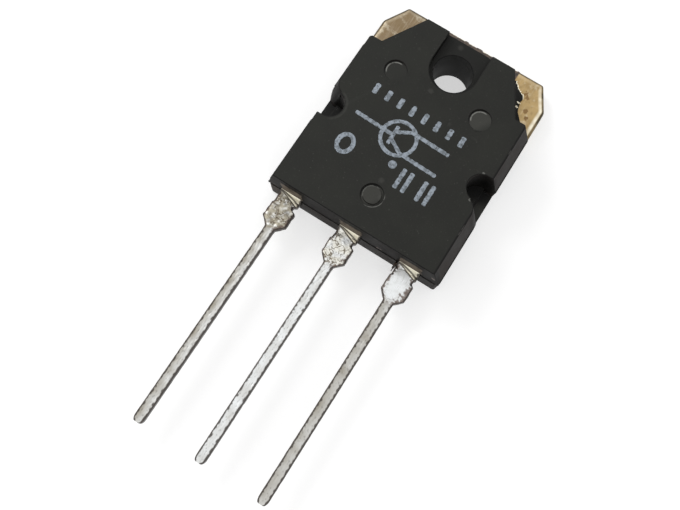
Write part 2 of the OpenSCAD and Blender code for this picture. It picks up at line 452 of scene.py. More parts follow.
class EffectGroups:
    """Surface effects that several finishes share. Their sizes are in metres."""

    def __init__(self) -> None:
        """Builds the groups."""
        self.speckle = node_group(
            "speckle", {"Cells per metre": 8000.0, "Share": 0.12}, ("Mask",), self._speckle
        )
        self.scratches = node_group(
            "scratches", {"Cells per metre": 900.0, "Share": 0.1}, ("Mask",), self._scratches
        )
        spot = {"X": 0.0, "Y": 0.0, "Z": 0.0, "Radius": 0.0005, "Ragged": 0.0002, "Soft": 0.00006}
        self.spot = node_group("spot", spot, ("Mask",), self._spot)
        crescent = {"X": 0.0, "Y": 0.0, "Radius": 0.0009, "Toward X": -0.84, "Toward Y": 0.54, "Far": 0.0}
        self.crescent = node_group("crescent", crescent, ("Disc", "Shade", "Glint"), self._crescent)
        reflection_patch = {"X": 0.0, "Half width": 0.001, "Low Z": 0.0, "High Z": 0.001}
        self.reflection_patch = node_group("reflection_patch", reflection_patch, ("Mask",), self._reflection_patch)

    @staticmethod
    def _ragged(graph: Graph, start: bpy.types.Node, per_metre: float, detail: float = 3.0) -> Socket:
        """Fine noise around 0 that frays an outline.

        Args:
            graph: Graph of the group.
            start: Input node of the group.
            per_metre: Cells per metre.
            detail: Octaves of finer noise.

        Returns:
            Values of about -0.5 to 0.5.
        """
        noise = graph.add("ShaderNodeTexNoise", in_Scale=per_metre, in_Detail=detail)
        graph.link(start.outputs["Vector"], noise.inputs["Vector"])
        return graph.minus(noise.outputs["Fac"], 0.5)

    @staticmethod
    def _speckle(graph: Graph, start: bpy.types.Node, end: bpy.types.Node) -> None:
        """Small separate grains: the middles of those Voronoi cells whose random value is low.

        Args:
            graph: Graph of the group.
            start: Input node of the group.
            end: Output node of the group.
        """
        cells = graph.add("ShaderNodeTexVoronoi")
        graph.link(start.outputs["Vector"], cells.inputs["Vector"])
        graph.link(start.outputs["Cells per metre"], cells.inputs["Scale"])
        split = graph.add("ShaderNodeSeparateColor")
        graph.link(cells.outputs["Color"], split.inputs["Color"])
        chosen = graph.maths("LESS_THAN", split.outputs["Red"], start.outputs["Share"])
        grain = graph.ramp(cells.outputs["Distance"], 0.5, 0.15)
        graph.link(graph.times(chosen, grain), end.inputs["Mask"])

    @staticmethod
    def _scratches(graph: Graph, start: bpy.types.Node, end: bpy.types.Node) -> None:
        """Fine crossing scratches: thin bands of two stretched noises, broken up by a third.

        Args:
            graph: Graph of the group.
            start: Input node of the group.
            end: Output node of the group.
        """
        masks = []
        for turn, shift in ((0.5, 3.0), (-1.1, 17.0)):
            place = graph.add(
                "ShaderNodeMapping",
                in_Rotation=(0.0, 0.0, turn), in_Location=(shift, shift, 0.0), in_Scale=(0.06, 1.0, 1.0),
            )
            graph.link(start.outputs["Vector"], place.inputs["Vector"])
            bands = graph.add("ShaderNodeTexNoise", in_Detail=2.0)
            graph.link(place.outputs["Vector"], bands.inputs["Vector"])
            graph.link(start.outputs["Cells per metre"], bands.inputs["Scale"])
            off = graph.maths("ABSOLUTE", graph.minus(bands.outputs["Fac"], 0.5))
            masks.append(graph.ramp(off, 0.012, 0.002))
        gaps = graph.add("ShaderNodeTexNoise", in_Scale=420.0, in_Detail=2.0)
        graph.link(start.outputs["Vector"], gaps.inputs["Vector"])
        kept = graph.minus(gaps.outputs["Fac"], graph.minus(0.75, start.outputs["Share"]))
        graph.link(graph.times(graph.larger(*masks), graph.ramp(kept, 0.0, 0.12)), end.inputs["Mask"])

    @staticmethod
    def _spot(graph: Graph, start: bpy.types.Node, end: bpy.types.Node) -> None:
        """One spot around the point (X, Y, Z), frayed by Ragged and fading over Soft.

        Args:
            graph: Graph of the group.
            start: Input node of the group.
            end: Output node of the group.
        """
        at = graph.axes(start.outputs["Vector"])
        away = graph.length(*(graph.minus(along, start.outputs[key]) for along, key in zip(at, "XYZ")))
        push = graph.times(EffectGroups._ragged(graph, start, 5200.0), start.outputs["Ragged"], 3.0)
        inside = graph.minus(start.outputs["Radius"], graph.plus(away, push))
        graph.link(graph.ramp(graph.over(inside, start.outputs["Soft"]), 0.0, 1.0), end.inputs["Mask"])

    @staticmethod
    def _crescent(graph: Graph, start: bpy.types.Node, end: bpy.types.Node) -> None:
        """A sunken disc seen from above: its floor, and the painted shadow and painted highlight
        on its deeper side.

        With d the distance from (X, Y) over Radius, the floor is d < 0.97 and fades to about a
        third away from Toward, as painted light; the painted shadow lies at 0.85 to 1 and the
        painted highlight at 0.74 to 0.87, both only where the direction points Toward. A fainter
        painted highlight of strength Far lies at 1.02 to 1.1 on the opposite side.

        Args:
            graph: Graph of the group.
            start: Input node of the group.
            end: Output node of the group.
        """
        x, y, z = graph.axes(start.outputs["Vector"])
        dx, dy = (
            graph.over(graph.minus(along, start.outputs[key]), start.outputs["Radius"])
            for along, key in ((x, "X"), (y, "Y"))
        )
        away = graph.length(dx, dy)
        toward = graph.plus(
            graph.times(dx, start.outputs["Toward X"]), graph.times(dy, start.outputs["Toward Y"])
        )
        high = graph.ramp(z, 4.3 * MM, 4.4 * MM)
        # Floor tone, fading away from Toward as painted light.
        floor = graph.times(graph.ramp(away, 1.0, 0.92), graph.ramp(toward, -0.95, -0.3, (0.35, 1.0)), high)
        # Painted shadow inside the rim on the Toward side.
        shade = graph.times(graph.ramp(away, 0.83, 0.89), graph.ramp(away, 1.05, 1.0))
        shade = graph.times(shade, graph.ramp(toward, 0.1, 0.62), high)
        # Painted highlight of the rim.
        painted_highlight = graph.times(graph.ramp(away, 0.72, 0.79), graph.ramp(away, 0.88, 0.84))
        painted_highlight = graph.times(painted_highlight, graph.ramp(toward, 0.15, 0.45))
        far = graph.times(graph.ramp(away, 1.0, 1.04), graph.ramp(away, 1.12, 1.07))
        far = graph.times(far, graph.ramp(toward, -0.35, -0.7), start.outputs["Far"])
        # Noise that breaks up the painted highlight.
        worn = graph.ramp(EffectGroups._ragged(graph, start, 2600.0, 2.0), -0.2, 0.0)
        graph.link(floor, end.inputs["Disc"])
        graph.link(shade, end.inputs["Shade"])
        graph.link(graph.times(graph.larger(painted_highlight, far), high, worn), end.inputs["Glint"])

    @staticmethod
    def _reflection_patch(graph: Graph, start: bpy.types.Node, end: bpy.types.Node) -> None:
        """A soft-edged area on the lead-side wall, for the leads' painted reflection:
        |x - X| < Half width and Low Z < z < High Z.

        Args:
            graph: Graph of the group.
            start: Input node of the group.
            end: Output node of the group.
        """
        x, y, z = graph.axes(start.outputs["Vector"])
        push = graph.times(EffectGroups._ragged(graph, start, 5000.0), 0.6 * MM)
        off = graph.maths("ABSOLUTE", graph.minus(x, start.outputs["X"]))
        wide = graph.ramp(graph.plus(graph.minus(start.outputs["Half width"], off), push), 0.0, 0.1 * MM)
        low = graph.ramp(graph.minus(z, start.outputs["Low Z"]), -0.05 * MM, 0.02 * MM)
        high = graph.ramp(graph.plus(graph.minus(start.outputs["High Z"], z), push), 0.0, 0.2 * MM)
        outer = graph.maths("LESS_THAN", y, -14.9 * MM)
        graph.link(graph.times(wide, low, high, outer), end.inputs["Mask"])


class Coat:
    """A material in the making: layers of paint over each other on one Principled shader."""

    def __init__(self, name: str, effects: EffectGroups) -> None:
        """Opens the material on object coordinates.

        Args:
            name: Material name.
            effects: Shared effect groups.
        """
        self.effects = effects
        self.material = bpy.data.materials.new(name)
        self.material.use_nodes = True
        self.graph = Graph(self.material.node_tree)
        self.shader = self.material.node_tree.nodes["Principled BSDF"]
        self.place = self.graph.add("ShaderNodeTexCoord").outputs["Object"]
        self.colour: Paint = (0.0, 0.0, 0.0)

    def ground(self, first: Paint, second: Paint, mask: Socket) -> None:
        """Starts the colour as a blend of two paints."""
        self.colour = self.graph.mix(mask, first, second)

    def lay(self, paint: Paint, mask: Socket, amount: float = 1.0) -> None:
        """Lays a paint over the colour so far, by the mask times the amount."""
        share = mask if amount == 1.0 else self.graph.times(mask, amount)
        self.colour = self.graph.mix(share, self.colour, paint)

    def noise(self, cell: float, detail: float = 3.0, rough: float = 0.55) -> Socket:
        """Noise over the piece, with cells of about `cell` millimetres."""
        return self.graph.noise(self.place, cell, detail, rough)

    def effect(self, group: bpy.types.NodeTree, **values: float) -> bpy.types.Node:
        """Places an effect group.

        Args:
            group: The group.
            values: Its inputs, with _ for a space. Sizes are in metres.

        Returns:
            The group's node.
        """
        node = self.graph.add("ShaderNodeGroup", node_tree=group)
        self.graph.link(self.place, node.inputs["Vector"])
        for key, value in values.items():
            node.inputs[key.replace("_", " ")].default_value = value
        return node

    def speckle(self, per_metre: float, share: float) -> Socket:
        """Mask of small grains."""
        return self.effect(self.effects.speckle, Cells_per_metre=per_metre, Share=share).outputs["Mask"]

    def spot(self, centre: Point, radius: float, ragged: float, soft: float = 0.06) -> Socket:
        """Mask of one spot.

        Args:
            centre: Middle of the spot, in millimetres.
            radius: Radius in millimetres.
            ragged: Depth of the frayed outline in millimetres.
            soft: Width of the fading edge in millimetres.

        Returns:
            The mask.
        """
        x, y, z = (along * MM for along in centre)
        sizes = {"Radius": radius * MM, "Ragged": ragged * MM, "Soft": soft * MM}
        return self.effect(self.effects.spot, X=x, Y=y, Z=z, **sizes).outputs["Mask"]

    def bump(self, height: Socket, depth: float, strength: float) -> None:
        """Feeds a height into the shader's normal.

        Args:
            height: Height, 0 to 1.
            depth: Depth of a height of 1, in millimetres.
            strength: Strength of the relief.
        """
        node = self.graph.add("ShaderNodeBump", in_Strength=strength, in_Distance=depth * MM)
        self.graph.link(height, node.inputs["Height"])
        self.graph.link(node.outputs["Normal"], self.shader.inputs["Normal"])

    def close(self, rough: Socket, metallic: float = 0.0, specular: float = 0.5) -> bpy.types.Material:
        """Feeds the colour and the roughness into the shader and sets its constants.

        Args:
            rough: Roughness.
            metallic: Constant of the Metallic socket.
            specular: Constant of the Specular IOR Level socket.

        Returns:
            The finished material.
        """
        self.graph.link(self.colour, self.shader.inputs["Base Color"])
        self.graph.link(rough, self.shader.inputs["Roughness"])
        self.shader.inputs["Metallic"].default_value = metallic
        self.shader.inputs["Specular IOR Level"].default_value = specular
        return self.material


@dataclass(frozen=True)
class Finish:
    """Base of all finishes: a name and the effects that it may use."""

    name: str
    effects: EffectGroups


@dataclass(frozen=True)
class EpoxyFinish(Finish):
    """Black filled epoxy of the eroded matte faces, with pale filler grains and scratches.

    A sunken disc is (x, y, radius, tone of its floor, strength of its far painted highlight), a
    hollow of painted shade (x, y, radius, amount) and a painted glint (x, y, radius). Painted
    shade also darkens the sunk slot floor, the right face edge and the rounds, and painted light
    brightens the floor beside the right notch.
    """

    face: RGB = (0.0172, 0.0178, 0.0148)
    dark: RGB = (0.0132, 0.0136, 0.0114)
    grain: RGB = (0.068, 0.0672, 0.0608)
    # Floor tone of the discs, also laid as painted light beside the right notch.
    disc: RGB = (0.0376, 0.0376, 0.0328)
    # Painted shade for the discs, the sunk slot floor and the notch hollows.
    painted_shade: RGB = (0.004, 0.004, 0.0035)
    # Painted highlight for the disc rims, the notch rims and the glints.
    painted_highlight: RGB = (0.25, 0.25, 0.23)
    # Painted shade of the right face edge and of the rounds.
    edge: RGB = (0.0025, 0.0024, 0.002)
    # Painted glints scattered along the rounds.
    glint: RGB = (0.072, 0.0688, 0.064)
    cloud_cell: float = 3.2
    fine_cell: float = 0.13
    pore_cell: float = 0.04
    # Heights over which the sunk slot floor takes painted shade.
    sunk_shade_z: tuple[float, float] = (4.3, 4.1)
    edge_x: tuple[float, float] = (7.07, 7.13)
    edge_z: tuple[float, float] = (4.4, 4.5)
    hollow_z: float = 1.3
    glint_z: float = 4.58
    # A lighter spot of painted light on the floor beside the right notch.
    painted_light_spot: Point = (7.5, -8.3, 1.1)
    painted_light_radius: float = 1.5
    # Notch hollows darkened by painted shade.
    shaded_hollows: tuple[tuple[float, ...], ...] = ((-6.6, -7.2, 1.45, 0.6), (6.4, -6.1, 1.5, 0.95))
    # Painted glints on the right notch's rims.
    glints: tuple[Point, ...] = ((6.55, -8.6, 0.17), (6.34, -6.22, 0.14))
    discs: tuple[tuple[float, ...], ...] = (
        (-3.9, -2.55, 0.925, 0.12, 0.0), (3.9, -2.55, 0.925, 1.0, 0.0), (0.0, -12.3, 0.925, 1.0, 0.55),
    )
    # Painted highlight along the left notch's rim.
    notch_glint: Point = (-6.79, -7.68, 1.66)

    def build(self) -> bpy.types.Material:
        """Makes the material.

        Returns:
            The material.
        """
        coat = Coat(self.name, self.effects)
        graph = coat.graph
        cloud = coat.noise(self.cloud_cell, 4.0)
        fine = coat.noise(self.fine_cell, 3.0, 0.6)
        coat.ground(self.dark, self.face, graph.ramp(cloud, 0.35, 0.65))
        coat.lay(self.grain, graph.ramp(fine, 0.56, 0.8, (0.0, 0.22)))
        self._discs(coat)
        x, _, z = graph.axes(coat.place)
        # Painted shade on the sunk slot floor.
        coat.lay(self.painted_shade, graph.ramp(z, self.sunk_shade_z[0] * MM, self.sunk_shade_z[1] * MM, (0.0, 0.64)))
        # Painted shade: a dark line along the right face edge.
        side = graph.ramp(x, self.edge_x[0] * MM, self.edge_x[1] * MM)
        high = graph.ramp(z, self.edge_z[0] * MM, self.edge_z[1] * MM)
        coat.lay(self.edge, graph.times(side, high), 0.85)
        # Painted light: a lighter spot on the floor beside the right notch.
        coat.lay(self.disc, coat.spot(self.painted_light_spot, self.painted_light_radius, 0.02, 0.9))
        # Painted shade in the notch hollows.
        for hx, hy, radius, amount in self.shaded_hollows:
            coat.lay(self.painted_shade, coat.spot((hx, hy, self.hollow_z), radius, 0.02, 0.5), amount)
        # Painted glints on the notch rims.
        for gx, gy, radius in self.glints:
            coat.lay(self.painted_highlight, coat.spot((gx, gy, self.glint_z), radius, 0.05, 0.08), 0.45)
        # Painted highlight along the left notch's rim.
        rim_x, rim_y, rim_radius = (size * MM for size in self.notch_glint)
        pale_and_highlight = coat.effect(
            self.effects.crescent, X=rim_x, Y=rim_y, Radius=rim_radius, Toward_X=0.93, Toward_Y=0.1
        )
        coat.lay(self.painted_highlight, pale_and_highlight.outputs["Glint"], 0.05)
        scratch = coat.effect(self.effects.scratches, Cells_per_metre=600.0, Share=0.08).outputs["Mask"]
        small, large = coat.speckle(7000.0, 0.02), coat.speckle(1500.0, 0.03)
        pale = ((small, 0.35), (large, 0.3), (scratch, 0.35))
        coat.lay(self.grain, graph.larger(*(graph.times(mask, amount) for mask, amount in pale)))
        # Rounds: painted shade with scattered painted glints.
        bright = graph.ramp(coat.noise(1.1, 2.0), 0.62, 0.72)
        coat.lay(graph.mix(bright, self.edge, self.glint), graph.attribute("round_faces"), 0.85)
        height = graph.plus(graph.times(fine, 0.6), graph.times(coat.noise(self.pore_cell, 2.0), 0.4))
        coat.bump(graph.minus(height, graph.times(scratch, 0.4)), 0.01, 0.6)
        return coat.close(graph.ramp(cloud, 0.3, 0.7, (0.55, 0.66)), specular=0.2)

    def _discs(self, coat: Coat) -> None:
        """Paints the floor of the ejector-pin discs, partly as painted light, and their painted
        shadows and painted highlights.

        Args:
            coat: The material in the making.
        """
        for x, y, radius, tone, far in self.discs:
            mark = coat.effect(self.effects.crescent, X=x * MM, Y=y * MM, Radius=radius * MM, Far=far)
            coat.lay(self.disc, mark.outputs["Disc"], tone)
            coat.lay(self.painted_shade, mark.outputs["Shade"], 0.9)
            coat.lay(self.painted_highlight, mark.outputs["Glint"], 0.7)


@dataclass(frozen=True)
class WallFinish(Finish):
    """The same epoxy on the drafted walls: smoother, a little brown, with painted shade in
    the hollows, pits and recess, and the leads' reflection painted above them.

    The pits, each (x, radius), and each hollow (x, y, z, radius, soft, amount) hold painted
    shade; a speck is (x, z, radius).
    """

    wall: RGB = (0.0271, 0.0225, 0.0205)
    dark: RGB = (0.0164, 0.0143, 0.0131)
    # The leads' painted reflection on the wall above them.
    stain_and_reflection: RGB = (0.1558, 0.1271, 0.0984)
    # Painted shade of the walls.
    wall_painted_shade: RGB = (0.0035, 0.0035, 0.003)
    worn: RGB = (0.068, 0.058, 0.05)
    # Painted shade of the small voids.
    pit_shade: RGB = (0.002, 0.002, 0.002)
    speck: RGB = (0.2788, 0.2296, 0.2132)
    # Painted shade of the rounds.
    edge: RGB = (0.0025, 0.0024, 0.002)
    lead_side_y: float = -15.1
    worn_corner: Point = (-7.3, -15.1, 0.9)
    lead_xs: tuple[float, ...] = (-5.65, -0.2, 5.25)
    # Heights of the leads' painted reflection.
    reflection_z: tuple[float, float] = (2.5, 3.85)
    pit_z: float = 2.1
    # Small voids along the parting line, painted dark as their shade.
    pits: tuple[tuple[float, float], ...] = (
        (-2.35, 0.17), (-2.0, 0.1), (3.05, 0.17), (3.35, 0.1), (-6.68, 0.13), (-1.2, 0.14), (4.25, 0.16),
    )
    speck_y: float = -15.05
    specks: tuple[Point, ...] = ((2.35, 2.35, 0.16), (2.6, 2.42, 0.14), (7.3, 3.2, 0.2))
    # Notch hollows darkened by painted shade.
    shaded_hollows: tuple[tuple[float, ...], ...] = (
        (-6.8, -7.5, 2.2, 1.35, 0.3, 0.8), (-6.8, -7.5, 3.4, 1.3, 0.3, 0.7), (-7.5, -6.0, 3.2, 2.2, 1.0, 0.8),
        (6.6, -6.7, 2.2, 1.5, 0.4, 0.9), (6.6, -6.7, 3.4, 1.4, 0.4, 0.85), (7.4, -8.6, 3.0, 1.9, 0.8, 0.5),
    )

    def build(self) -> bpy.types.Material:
        """Makes the material.

        Returns:
            The material.
        """
        coat = Coat(self.name, self.effects)
        graph = coat.graph
        cloud = coat.noise(1.8, 4.0)
        coat.ground(self.dark, self.wall, graph.ramp(cloud, 0.35, 0.65))
        self._lead_side(coat)
        # Painted shade in small voids along the parting line.
        for x, radius in self.pits:
            coat.lay(self.pit_shade, coat.spot((x, self.lead_side_y, self.pit_z), radius, 0.1))
        # Painted shade in the notch hollows.
        for x, y, z, radius, soft, amount in self.shaded_hollows:
            coat.lay(self.wall_painted_shade, coat.spot((x, y, z), radius, 0.02, soft), amount)
        for x, z, radius in self.specks:
            coat.lay(self.speck, coat.spot((x, self.speck_y, z), radius, 0.08), 0.6)
        # Painted shade along the rounds.
        coat.lay(self.edge, graph.attribute("round_faces"), 0.85)
        coat.bump(coat.noise(0.15, 3.0, 0.6), 0.008, 0.5)
        return coat.close(graph.ramp(cloud, 0.3, 0.7, (0.5, 0.62)), specular=0.06)

    def _lead_side(self, coat: Coat) -> None:
        """Paints shade on the upper lead-side wall and in the recess, and paints the leads'
        reflection on the wall above each lead.

        Args:
            coat: The material in the making.
        """
        graph = coat.graph
        x, y, z = graph.axes(coat.place)
        # Painted shade on the upper lead-side wall.
        lead_side = graph.ramp(y, -14.5 * MM, -14.75 * MM)
        coat.lay(self.wall_painted_shade, graph.times(lead_side, graph.ramp(z, 2.1 * MM, 2.25 * MM)), 0.72)
        coat.lay(self.worn, graph.times(coat.spot(self.worn_corner, 1.9, 0.1, 1.0), lead_side), 0.8)
        # Painted shade in the recess.
        across = graph.ramp(graph.maths("ABSOLUTE", x), 2.35 * MM, 2.2 * MM)
        recess = graph.times(across, graph.ramp(z, 3.8 * MM, 3.95 * MM), graph.ramp(y, -2.6 * MM, -2.3 * MM))
        coat.lay(self.wall_painted_shade, recess, 0.9)
        # The leads' reflection, painted on the wall above each lead.
        low, high = self.reflection_z
        for lead_x in self.lead_xs:
            reflection_patch = coat.effect(
                self.effects.reflection_patch,
                X=(lead_x + 0.05) * MM, Half_width=1.0 * MM, Low_Z=low * MM, High_Z=high * MM,
            )
            blotch = graph.ramp(coat.noise(0.5), 0.3, 0.55, (0.45, 0.95))
            coat.lay(self.stain_and_reflection, graph.times(reflection_patch.outputs["Mask"], blotch))


@dataclass(frozen=True)
class ResinBleedFinish(Finish):
    """Thin brown resin that bled onto the metal."""

    base: RGB = (0.1275, 0.0892, 0.0638)
    dark: RGB = (0.0382, 0.0272, 0.0221)
    cloud_cell: float = 0.35

    def build(self) -> bpy.types.Material:
        """Makes the material.

        Returns:
            The material.
        """
        coat = Coat(self.name, self.effects)
        cloud = coat.noise(self.cloud_cell, 4.0)
        coat.ground(self.dark, self.base, coat.graph.ramp(cloud, 0.38, 0.62))
        coat.bump(cloud, 0.02, 0.5)
        return coat.close(coat.graph.ramp(cloud, 0.3, 0.7, (0.35, 0.55)))


@dataclass(frozen=True)
class InkFinish(Finish):
    """White pad-printed ink, thin and broken up over the grainy face."""

    ink: RGB = (0.288, 0.328, 0.376)
    thin: RGB = (0.128, 0.148, 0.168)
    through: RGB = (0.024, 0.024, 0.024)
    cover_cell: float = 0.3

    def build(self) -> bpy.types.Material:
        """Makes the material.

        Returns:
            The material.
        """
        coat = Coat(self.name, self.effects)
        cover = coat.noise(self.cover_cell, 4.0, 0.65)
        coat.ground(self.thin, self.ink, coat.graph.ramp(cover, 0.38, 0.6))
        coat.lay(self.through, coat.speckle(6500.0, 0.3), 0.8)
        coat.bump(cover, 0.01, 0.6)
        return coat.close(coat.graph.ramp(cover, 0.3, 0.7, (0.55, 0.8)))


@dataclass(frozen=True)
class CopperFinish(Finish):
    """Bare header metal: golden on one side, dull brown on the other, with resin stains.

    Pale gold lightens random streaks and blotches and is also the painted highlight on the
    plate's rolled edge, the raised copper edge and the copper chips; painted shade darkens the
    rolled edge. Each resin-stained spot is (x, y, radius, ragged).
    """

    bright: RGB = (0.50, 0.355, 0.165)
    dull: RGB = (0.25, 0.185, 0.112)
    # Here these are real resin stains on the copper.
    stain_and_reflection: RGB = (0.17, 0.085, 0.03)
    # Pale gold of random streaks and blotches, and the painted highlights.
    pale_and_highlight: RGB = (0.98, 0.92, 0.74)
    tarnish: RGB = (0.22, 0.155, 0.075)
    # Painted shade of the rolled edge.
    shade: RGB = (0.055, 0.044, 0.024)
    dull_until_x: float = -2.0
    bright_from_x: float = 3.5
    face_z: float = 1.4
    stains: tuple[tuple[float, ...], ...] = (
        (5.95, 2.62, 0.2, 0.15), (5.7, 2.95, 0.16, 0.3), (6.42, 1.5, 0.24, 0.1), (6.75, 1.02, 0.22, 0.12),
    )

    def build(self) -> bpy.types.Material:
        """Makes the material.

        Returns:
            The material.
        """
        coat = Coat(self.name, self.effects)
        graph = coat.graph
        x, _, _ = graph.axes(coat.place)
        cloud = coat.noise(1.6, 4.0, 0.6)
        streak = graph.noise(graph.stretched(coat.place, (1.0, 0.08, 1.0), 0.35), 0.12, 3.0, 0.6)
        blotch = coat.noise(0.7, 4.0, 0.65)
        coat.ground(self.dull, self.bright, graph.ramp(x, self.dull_until_x * MM, self.bright_from_x * MM))
        coat.lay(self.tarnish, graph.ramp(cloud, 0.4, 0.72, (0.0, 0.5)))
        coat.lay(self.pale_and_highlight, graph.ramp(streak, 0.5, 0.78, (0.0, 0.14)))
        coat.lay(self.tarnish, graph.ramp(blotch, 0.52, 0.68, (0.0, 0.3)))
        coat.lay(self.pale_and_highlight, graph.ramp(blotch, 0.46, 0.34, (0.0, 0.22)))
        coat.lay(self.tarnish, coat.speckle(3000.0, 0.1), 0.35)
        for sx, sy, radius, ragged in self.stains:
            coat.lay(self.stain_and_reflection, coat.spot((sx, sy, self.face_z), radius, ragged), 0.7)
        # Painted highlight on the rolled edge, the raised edge and the chips, and the pale bare copper of the
        # nose.
        coat.lay(self.pale_and_highlight, graph.attribute("pale_and_highlight"))
        # Painted shade along the rolled edge.
        coat.lay(self.shade, graph.attribute("shade"))
        coat.bump(graph.plus(streak, graph.times(coat.noise(0.3), 0.8)), 0.012, 0.6)
        return coat.close(graph.ramp(cloud, 0.3, 0.7, (0.34, 0.52)), metallic=0.85)


@dataclass(frozen=True)
class TinFinish(Finish):
    """Solder-dipped tin: bright where smooth, grey where dull, dark in creases, with painted
    shade along the edges.
    """

    bright: RGB = (0.845, 0.865, 0.87)
    grey: RGB = (0.5, 0.49, 0.455)
    dull: RGB = (0.3, 0.275, 0.225)
    # Dark of the folds, grooves and specks, also the painted shade along the edges.
    crease_and_edge_shade: RGB = (0.055, 0.046, 0.04)
    copper: RGB = (0.15, 0.105, 0.085)
    cream: RGB = (0.86, 0.80, 0.62)
    scrawl: RGB = (0.17, 0.14, 0.10)
    scrawl_cell: float = 0.4
    scrawl_patch: float = 0.8

    def build(self) -> bpy.types.Material:
        """Makes the material.

        Returns:
            The material.
        """
        coat = Coat(self.name, self.effects)
        graph = coat.graph
        cloud = coat.noise(0.5, 4.0, 0.62)
        fine = coat.noise(0.09, 3.0, 0.6)
        streak = graph.noise(graph.stretched(coat.place, (1.0, 0.12, 1.0)), 0.1, 3.0, 0.6)
        dull = graph.attribute("dull")
        coat.ground(self.bright, self.dull, dull)
        coat.lay(self.grey, graph.ramp(cloud, 0.5, 0.75, (0.0, 0.4)))
        coat.lay(self.dull, graph.ramp(streak, 0.52, 0.75, (0.0, 0.35)))
        coat.lay(self.grey, graph.ramp(fine, 0.6, 0.78, (0.0, 0.3)))
        coat.lay(self.crease_and_edge_shade, graph.times(coat.speckle(5200.0, 0.07), graph.attribute("rough")), 0.75)
        coat.lay(self.cream, graph.attribute("cream"))
        off = graph.maths("ABSOLUTE", graph.minus(coat.noise(self.scrawl_cell, 2.0, 0.5), 0.5))
        shown = graph.ramp(coat.noise(self.scrawl_patch, 2.0), 0.44, 0.56)
        coat.lay(self.scrawl, graph.times(graph.ramp(off, 0.055, 0.02), shown, graph.attribute("scrawl")))
        coat.lay(self.copper, graph.attribute("bare"))
        # Dark folds and grooves, and painted shade along the lead's edges and rounded corners.
        coat.lay(self.crease_and_edge_shade, graph.attribute("crease_and_edge_shade"))
        coat.bump(graph.plus(cloud, graph.times(fine, 0.4)), 0.012, 0.4)
        clean = graph.ramp(cloud, 0.3, 0.7, (0.24, 0.4))
        rough = graph.maths("ADD", clean, graph.times(dull, 0.25), clamp=True)
        return coat.close(rough, metallic=0.9)


@dataclass(frozen=True)
class SealedFinish(Finish):
    """Plain metal or crystal of the sealed inner pieces, with a light grain."""

    base: RGB = (0.5, 0.5, 0.5)
    other: RGB = (0.4, 0.4, 0.4)
    metallic: float = 1.0
    rough: tuple[float, float] = (0.2, 0.4)
    cell: float = 0.4

    def build(self) -> bpy.types.Material:
        """Makes the material.

        Returns:
            The material.
        """
        coat = Coat(self.name, self.effects)
        cloud = coat.noise(self.cell, 4.0)
        coat.ground(self.base, self.other, coat.graph.ramp(cloud, 0.35, 0.65))
        coat.bump(cloud, 0.01, 0.4)
        return coat.close(coat.graph.ramp(cloud, 0.3, 0.7, self.rough), metallic=self.metallic)


class Finishes:
    """Every finish of the part, built once."""

    def __init__(self) -> None:
        """Builds the materials."""
        fx = EffectGroups()
        silicon = SealedFinish(
            "silicon_chip", fx, (0.16, 0.17, 0.22), (0.1, 0.11, 0.15), metallic=0.6, rough=(0.08, 0.2), cell=0.8
        )
        solder = SealedFinish(
            "die_attach_solder", fx, (0.55, 0.55, 0.56), (0.36, 0.36, 0.37), rough=(0.3, 0.5), cell=0.3
        )
        wire = SealedFinish(
            "aluminium_wire", fx, (0.85, 0.85, 0.86), (0.7, 0.7, 0.72), rough=(0.2, 0.35), cell=0.1
        )
        self.made: dict[Slot, bpy.types.Material] = {
            Slot.EPOXY: EpoxyFinish("black_epoxy", fx).build(),
            Slot.COPPER: CopperFinish("header_copper", fx).build(),
            Slot.TIN: TinFinish("dipped_tin", fx).build(),
            Slot.SILICON: silicon.build(),
            Slot.SOLDER: solder.build(),
            Slot.WIRE: wire.build(),
        }
        self.ink = InkFinish("white_ink", fx).build()
        self.wall = WallFinish("epoxy_walls", fx).build()
        self.bleed = ResinBleedFinish("resin_bleed", fx).build()


# ---------------------------------------------------------------------------------------
# Moulding
# ---------------------------------------------------------------------------------------


